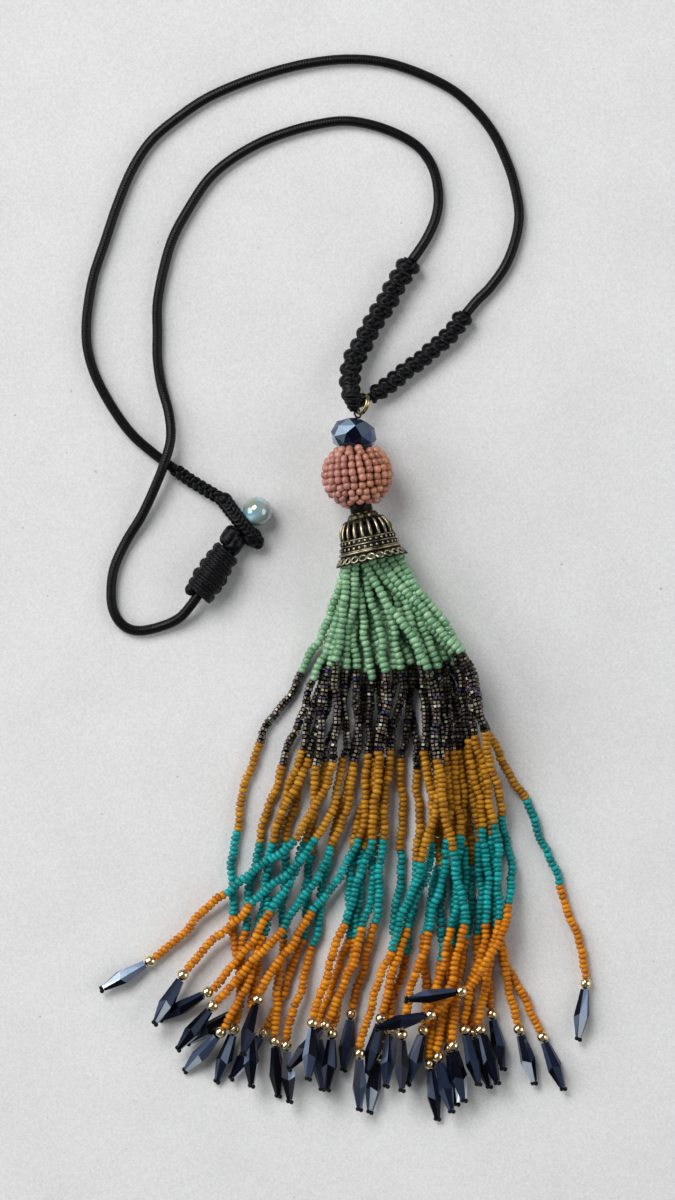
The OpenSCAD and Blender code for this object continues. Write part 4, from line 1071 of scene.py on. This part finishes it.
strandRows = [
    [(1, 22), (-6, -2), (-10, -26), (-12, -48), (-21, -71), (-28, -81)],
    [(-4, 22), (-11, -2), (-16, -23), (-17, -48), (-19, -73), (-18, -90)],
    [(5, 21), (1, -3), (-5, -27), (-9, -50), (-16, -74), (-15, -92)],
    [(8, 23), (7, -1), (1, -25), (0, -48), (-8, -71), (-7, -83)],
    [(9, 22), (10, -2), (4, -25), (2, -48), (-4, -71), (-5, -83)],
    [(15, 20), (18, -4), (18, -28), (15, -52), (8, -77), (6, -91)],
    [(17, 23), (22, 0), (24, -24), (20, -47), (20, -70), (16, -84)],
    [(20, 20), (21, -4), (24, -29), (24, -54), (21, -79), (23, -93)],
    [(22, 22), (26, -2), (28, -26), (27, -50), (26, -75), (28, -89)],
    [(26, 20), (29, -4), (32, -29), (30, -53), (23, -77), (27, -93)],
    [(27, 24), (31, 4), (34, -20), (36, -43), (37, -66), (40, -80)],
    [(24, 24), (30, 2), (34, -23), (34, -47), (32, -71), (36, -84)],
    [(28, 23), (33, 0), (38, -24), (39, -48), (50, -72), (56, -87)],
    [(28, 24), (33, 3), (37, -21), (39, -45), (44, -70), (48, -84)],
    [(16, 23), (14, -1), (14, -25), (12, -47), (11, -70), (10, -85)],
    [(-6, 24), (-12, 1), (-19, -22), (-23, -46), (-25, -70), (-25, -84)],
    [(-12, 21), (-23, 3), (-29, -20), (-30, -42), (-28, -66), (-40, -74)],
    [(-9, 19), (-17, -3), (-23, -23), (-27, -46), (-29, -70), (-33, -82)],
    [(-3, 21), (-10, -1), (-20, -23), (-22, -47), (-32, -71), (-42, -82)],
    [(-5, 23), (-8, -3), (-11, -23), (-20, -41), (-35, -61), (-47, -68)],
    [(12, 22), (8, -1), (7, -25), (4, -45), (-5, -69), (-14, -80)],
    [(25, 24), (29, 1), (30, -24), (30, -48), (27, -74), (30, -89)],
    [(24, 23), (27, 1), (29, -21), (27, -45), (20, -70), (16, -84)],
    [(23, 22), (25, 1), (26, -22), (21, -46), (14, -71), (14, -87)],
    [(19, 23), (20, 1), (22, -23), (15, -45), (9, -67), (6, -79)],
    [(21, 20), (24, -4), (19, -28), (11, -51), (3, -76), (3, -93)],
    [(14, 22), (11, 1), (9, -22), (7, -44), (1, -66), (-1, -81)],
    [(10, 21), (8, 1), (6, -22), (-1, -44), (-9, -68), (-10, -81)],
    [(6, 19), (5, 0), (3, -22), (-9, -41), (-23, -62), (-27, -77)],
    [(2, 22), (2, -2), (-4, -24), (-17, -45), (-34, -64), (-42, -74)],
    [(-1, 22), (-1, -1), (-8, -22), (-25, -39), (-42, -56), (-49, -68)],
    [(-3, 24), (-4, -2), (-14, -22), (-32, -36), (-50, -53), (-62, -60)],
    [(27, 26), (31, 4), (35, -19), (36, -44), (30, -70), (34, -86)],
    [(29, 27), (33, 5), (38, -18), (39, -43), (34, -70), (39, -86)],
    [(21, 22), (23, -1), (27, -25), (30, -44), (23, -67), (11, -70)],
    [(30, 26), (36, 6), (46, -12), (55, -34), (62, -58), (60, -73)],
    [(29, 26), (35, 6), (40, -16), (42, -39), (31, -61), (18, -63)],
]
strandSetup = {
    "width": 2.1, "gap": 0.2, "steps": (3, 3, 2, 3, 3), "goldWidth": 3, "dropLength": 12.5, "dropWidth": 4,
    "tailStep": 1.4, "tailSlope": 0.14, "tailGap": 0.1, "dropTop": 0.55, "dropBelly": 0.56, "dropToe": 0.4,
    "layers": (3, 6, 7, 7, 7, 7), "layerRise": 0.93, "mouthFill": 7.32, "reach": 9, "thread": 0.2,
    "knot": 0.62, "knotAside": 0.42, "knotLobes": ((-1, 0.25), (1, 0.55)), "threadEnds": (1.2, 0.4),
    "lowestLayer": 0.25, "gatherShare": 0.3, "gather": 0.42, "waistShare": 0.78, "waist": 0.74,
}
tailLength = strandSetup["goldWidth"] + strandSetup["dropLength"] + 3 * strandSetup["tailGap"]
tailStations = [strandSetup["goldWidth"] / 2 + k * strandSetup["tailStep"] for k in range(
    int((tailLength - strandSetup["goldWidth"] / 2) / strandSetup["tailStep"]) + 1)]
toEnd = 99  # more stations than a strand has


def restOn(point, radius, a, b):  # the height at which a point clears one stretch of a lower strand
    ax, ay, az, first = a
    bx, by, bz, second = b
    px, py = point
    if abs(px - ax) > strandSetup["reach"] or abs(py - ay) > strandSetup["reach"]:
        return 0
    rx, ry = bx - ax, by - ay
    t = min(max(((px - ax) * rx + (py - ay) * ry) / (rx * rx + ry * ry), 0), 1)
    lx, ly = ax + rx * t, ay + ry * t
    reach = radius + first + (second - first) * t + strandSetup["gap"]
    rise = reach * reach - (px - lx) ** 2 - (py - ly) ** 2
    return az + (bz - az) * t + math.sqrt(rise) if rise > 0 else 0


def restHeight(point, radius, below, first, last):
    heights = [radius]
    for low in below:
        for m in range(max(first, 0), min(last, len(low) - 2) + 1):
            heights.append(restOn(point, radius, low[m], low[m + 1]))
    return max(heights)


def mouthPlace(i):
    layers, side = strandSetup["layers"], heading(capLean["turn"] + 90)
    layer, first = 0, 0
    while i >= first + layers[layer]:
        first += layers[layer]
        layer += 1

    def across(j):
        x, y = strandRows[j][0]
        return (x - mouth.x) * side.x + (y - mouth.y) * side.y

    rank = sum(across(j) < across(i) for j in range(first, first + layers[layer]))
    fill = strandSetup["mouthFill"]
    up = (layer + strandSetup["lowestLayer"]) * strandSetup["layerRise"] * strandSetup["width"] - fill
    half = math.sqrt(fill * fill - up * up)
    return mouth + side * ((2 * rank / (layers[layer] - 1) - 1) * half) + Vector((0, 0, up))


def tailRadius(run):
    setup = strandSetup
    if run < setup["goldWidth"]:
        return setup["goldWidth"] / 2
    share = (run - setup["goldWidth"]) / setup["dropLength"]
    if share < setup["dropBelly"]:
        width = setup["dropTop"] + (1 - setup["dropTop"]) * share / setup["dropBelly"]
    else:
        width = 1 + (setup["dropToe"] - 1) * min((share - setup["dropBelly"]) / (1 - setup["dropBelly"]), 1)
    return setup["dropWidth"] / 2 * width


def layStrand(i, below):  # returns [x, y, z, radius] at each of the strand's stations
    setup = strandSetup
    row, start = [Vector(p) for p in strandRows[i]], mouthPlace(i)
    flatStart = Vector((start.x, start.y))
    route = [flatStart - Vector((capWay.x, capWay.y)) * (2 * capSetup["length"]), flatStart, *row]
    plan = [curvePoint(route, k + 1, n / steps)
            for k, steps in enumerate(setup["steps"]) for n in range(steps)]
    plan.append(row[4])
    last, first = len(plan) - 1, setup["steps"][0]
    way = (row[5] - row[4]).normalized()
    tail = [restHeight(row[4] + way * s, tailRadius(s), below, last - 4, toEnd) for s in tailStations]
    endNeed = max(height - setup["tailSlope"] * s for height, s in zip(tail, tailStations))
    radius = setup["width"] / 2
    need = []
    for k in range(first, last + 1):
        height = restHeight(plan[k], radius, below, max(k - 3, first), toEnd if k > last - 4 else k + 2)
        need.append(max(height, max(endNeed, tail[0]) if k == last else 0))
    end = last - first
    wide = [max(need[max(k - 1, 0)], need[k], need[min(k + 1, end)]) for k in range(end + 1)]
    rest = [(wide[max(k - 1, 0)] + wide[k] + wide[min(k + 1, end)]) / 3 for k in range(end + 1)]
    sweep = [rest[0] + (start.z - rest[0]) * (1 + math.cos(math.pi * k / first)) / 2 for k in range(first)]
    heights = sweep + rest
    slope = max((height - heights[last]) / s for height, s in zip(tail[1:], tailStations[1:]))
    stations = [(p.x, p.y, z, radius) for p, z in zip(plan, heights)]
    for s in tailStations:
        p = row[4] + way * s
        stations.append((p.x, p.y, heights[last] + slope * s, tailRadius(s)))
    return stations


heapOfStrands = []
for number in range(len(strandRows)):
    heapOfStrands.append(layStrand(number, heapOfStrands))
print("strands laid:", len(heapOfStrands))

# The beads of each strand, from the cap to the gold bead; each kind ends at the strand's station "to"

roundKind = {"shape": roundBead, "width": 2.4, "length": 1.28, "vary": 0.16}
beadRuns = {
    "mintBeads": {**roundKind, "finish": "mint", "to": 3, "width": 2.42, "length": 1.5, "vary": 0.18},
    "irisBeads": {"shape": cutBead, "finish": "iris", "to": 6, "width": 2.2, "length": 1.02, "vary": 0.08},
    "mustardBeads": {**roundKind, "finish": "mustard", "to": 8},
    "tealBeads": {**roundKind, "finish": "teal", "to": 11},
    "orangeBeads": {**roundKind, "finish": "orange", "to": 14},
}
beadLoose = {"aside": 0.055, "tilt": 0.07, "narrow": 0.93, "wide": 1.04, "lastGap": 0.05, "sway": 0.36,
             "swayEvery": 19, "kink": 0.16, "kinkEvery": 7.5, "calmStart": 10, "grows": 12, "calmEnd": 10,
             "overlap": 1.02, "lean": 0.12, "firstGap": 0.2, "seed": 5, "tintSeed": 30, "fineSteps": 12}


def strandPath(laid, chance):  # the strand's route in fine steps, with the run at which each station lies
    setup = strandSetup
    start = Vector(laid[0][:3])
    root = start - mouth
    length = capSetup["length"]
    gathered = crown + capWay * (setup["gatherShare"] * length) + root * setup["gather"]
    waist = crown + capWay * (setup["waistShare"] * length) + root * setup["waist"]
    count = sum(setup["steps"]) + 1
    points = [gathered, waist, *(Vector(station[:3]) for station in laid[:count])]
    fine, marks = [], []
    for i in range(len(points) - 1):
        marks.append(len(fine))
        fine += [curvePoint(points, i, k / beadLoose["fineSteps"]) for k in range(beadLoose["fineSteps"])]
    fine.append(points[-1])
    marks.append(len(fine) - 1)
    runs, ways = pathRuns(fine), tangents(fine)
    first, second = chance.uniform(0, math.tau), chance.uniform(0, math.tau)
    loose = beadLoose
    for i, (run, way) in enumerate(zip(runs, ways)):
        sway = loose["sway"] * math.sin(math.tau * run / loose["swayEvery"] + first)
        sway += loose["kink"] * math.sin(math.tau * run / loose["kinkEvery"] + second)
        fade = min(max(run - loose["calmStart"], 0) / loose["grows"], (runs[-1] - run) / loose["calmEnd"], 1)
        fine[i] = fine[i] + sideways(way) * (sway * fade)
    return fine, runs, [runs[k] for k in marks[2:]]


def layBead(bead, place, way, length, chance):
    side = way.orthogonal().normalized()
    if bead["shape"] is not cutBead:
        side = Matrix.Rotation(chance.uniform(0, math.tau), 3, way) @ side
    else:
        side = (Vector((0, 0, 1)) - way * way.z) + (way.orthogonal() * chance.gauss(0, beadLoose["lean"]))
        side.normalize()
    loose = Vector((chance.gauss(0, 1), chance.gauss(0, 1), chance.gauss(0, 1)))
    width = bead["width"] * chance.uniform(beadLoose["narrow"], beadLoose["wide"])
    place = place + loose * beadLoose["aside"]
    place.z = max(place.z, width / 2)
    tilted = (way + loose.yzx * beadLoose["tilt"]).normalized()
    return place, tilted, side, (width, width, length * beadLoose["overlap"])


def tailOf(laid):  # where the beads end, and the way that the gold bead and the drop point
    count = sum(strandSetup["steps"])
    end, first, second = (Vector(laid[k][:3]) for k in (count, count + 1, count + 2))
    return end, (second - first).normalized()


def layThread(heap, laid):  # the bare thread through the drop, and its knot of two lobes
    end, way = tailOf(laid)
    setup = strandSetup
    before, after = setup["threadEnds"]
    heap.tube([end - way * before, end, end + way * (tailLength + after)], setup["thread"], 8)
    across = sideways(way) * setup["knotAside"]
    outline = roundOutline(setup["knot"], setup["knot"], 30)
    for lobe, along in setup["knotLobes"]:
        heap.turned(outline, 10, Matrix.Translation(end + way * (tailLength + along) + across * lobe))


def makeStrands():
    chance = random.Random(beadLoose["seed"])
    places = {name: [] for name in beadRuns}
    threads = Heap()
    for laid in heapOfStrands:
        fine, runs, marks = strandPath(laid, chance)
        run = beadLoose["firstGap"]
        for name, bead in beadRuns.items():
            stop = marks[bead["to"]] + (beadLoose["lastGap"] if name == "orangeBeads" else 0)
            lengths = [bead["length"] * (1 + chance.uniform(-bead["vary"], bead["vary"]))
                       for _ in range(max(1, round((stop - run) / bead["length"])))]
            squeeze = (stop - run) / sum(lengths)
            for length in (length * squeeze for length in lengths):
                way = (pointAt(fine, runs, run + length) - pointAt(fine, runs, run)).normalized()
                middle = pointAt(fine, runs, run + length / 2)
                places[name].append(layBead(bead, middle, way, length, chance))
                run += length
        layThread(threads, laid)
    for seed, (name, bead) in enumerate(beadRuns.items(), beadLoose["tintSeed"]):
        piece = scatterPieces(name, bead["shape"], places[name], bead["finish"], seed, 0.0)
        dress(piece, "seed_beads", "tassel")
    dress(threads.make("threads", "wrapped"), "seed_beads", "tassel")


makeStrands()
for shape in (roundBead, cutBead, granule):
    bpy.data.objects.remove(shape)

# The long drops, six-sided, each facet painted with its own shade of reflected light, from black to a white
# glint

dropSetup = {
    "seed": 12, "sides": 6, "slim": 0.9, "zigzag": 0.5, "lidShade": 0.1,
    # painted reflections that the facets above and below the belly are drawn from; the highest is a white
    # glint
    "shades": ((0.0, 0.0, 0.15, 0.3, 0.45, 0.6, 0.7, 0.88), (0.0, 0.0, 0.0, 0.15, 0.3, 0.5, 0.65, 0.98)),
}


def makeDrops():
    setup, sides = strandSetup, dropSetup["sides"]
    chance = random.Random(dropSetup["seed"])
    flats = dropSetup["slim"] * setup["dropWidth"] / 2 / math.cos(math.pi / sides)
    outline = [(0, setup["dropTop"]), (setup["dropBelly"] * setup["dropLength"], 1),
               (setup["dropLength"], setup["dropToe"])]
    heap = Heap()
    for laid in heapOfStrands:
        end, way = tailOf(laid)
        top = end + way * (setup["goldWidth"] + 2 * setup["tailGap"])
        turn = math.degrees(math.atan2(way.y, way.x))
        place = layUpright(top, turn, math.degrees(math.asin(way.z)))
        place = place @ Matrix.Rotation(chance.uniform(0, math.tau / sides), 4, "Z")
        rows = []
        for i, (height, share) in enumerate(outline):
            zigzag = [dropSetup["zigzag"] * (-1) ** k if i == 1 else 0 for k in range(sides)]
            rows.append([place @ polar(flats * share, math.tau * k / sides, height + zigzag[k])
                         for k in range(sides)])
        # each facet gets a painted reflection, from black to a white glint
        heap.faceted(rows, lambda i, k: chance.choice(dropSetup["shades"][i]), dropSetup["lidShade"])
    names = [name for name in cadNodes if name.startswith("drop_")]
    dress(heap.make("drops", "drop", smooth=False), "dark_crystal", *names)


makeDrops()

# The pieces of the part that only need their materials

plainFinishes = {"button_bead": "aqua", "jump_ring": "ring", "head_pin": "patina",
                 "collar": "filigree", "cap": "patina", "gold_beads": "gold"}
for name, finish in plainFinishes.items():
    node = cadNodes[name]
    node.data.materials.clear()
    node.data.materials.append(finishes[finish])
print("tassel made")

# Light and surface

lightSetup = {
    "key": ((-1230, 1670, 2310), 1580, 73),  # place, size and watts of the soft panels
    "window": ((-2500, 330, 1360), 1980, 47),
    "wall": ((2500, -130, 1540), 2200, 30),
    "aim": (0, 40, 0),
    "sky": 0.15,
    "skyColour": (0.93, 0.95, 1, 1),
}
surfaceSetup = {"half": 9, "height": -0.0002}  # in metres, so that a low view shows no edge


def addLight(name, place, size, watts):
    data = bpy.data.lights.new(name, "AREA")
    data.size = size * mm
    data.energy = watts
    light = addObject(name, data)
    light.location = Vector(place) * mm
    aim = Vector(lightSetup["aim"]) * mm - light.location
    light.rotation_euler = aim.to_track_quat("-Z", "Y").to_euler()


def makeSurface():
    mesh = bpy.data.meshes.new("surface")
    half, height = surfaceSetup["half"], surfaceSetup["height"]
    corners = [(x * half, y * half, height) for x, y in ((-1, -1), (1, -1), (1, 1), (-1, 1))]
    mesh.from_pydata(corners, [], [(0, 1, 2, 3)])
    mesh.materials.append(finishes["surface"])
    surface = addObject("surface", mesh)


makeSurface()
for name in ("key", "window", "wall"):
    addLight(name, *lightSetup[name])
world = bpy.data.worlds.new("world")
world.use_nodes = True
background = world.node_tree.nodes["Background"]
background.inputs["Color"].default_value = lightSetup["skyColour"]
background.inputs["Strength"].default_value = lightSetup["sky"]
bpy.context.scene.world = world
bpy.context.scene.view_settings.view_transform = "Standard"
print("surface and light set")
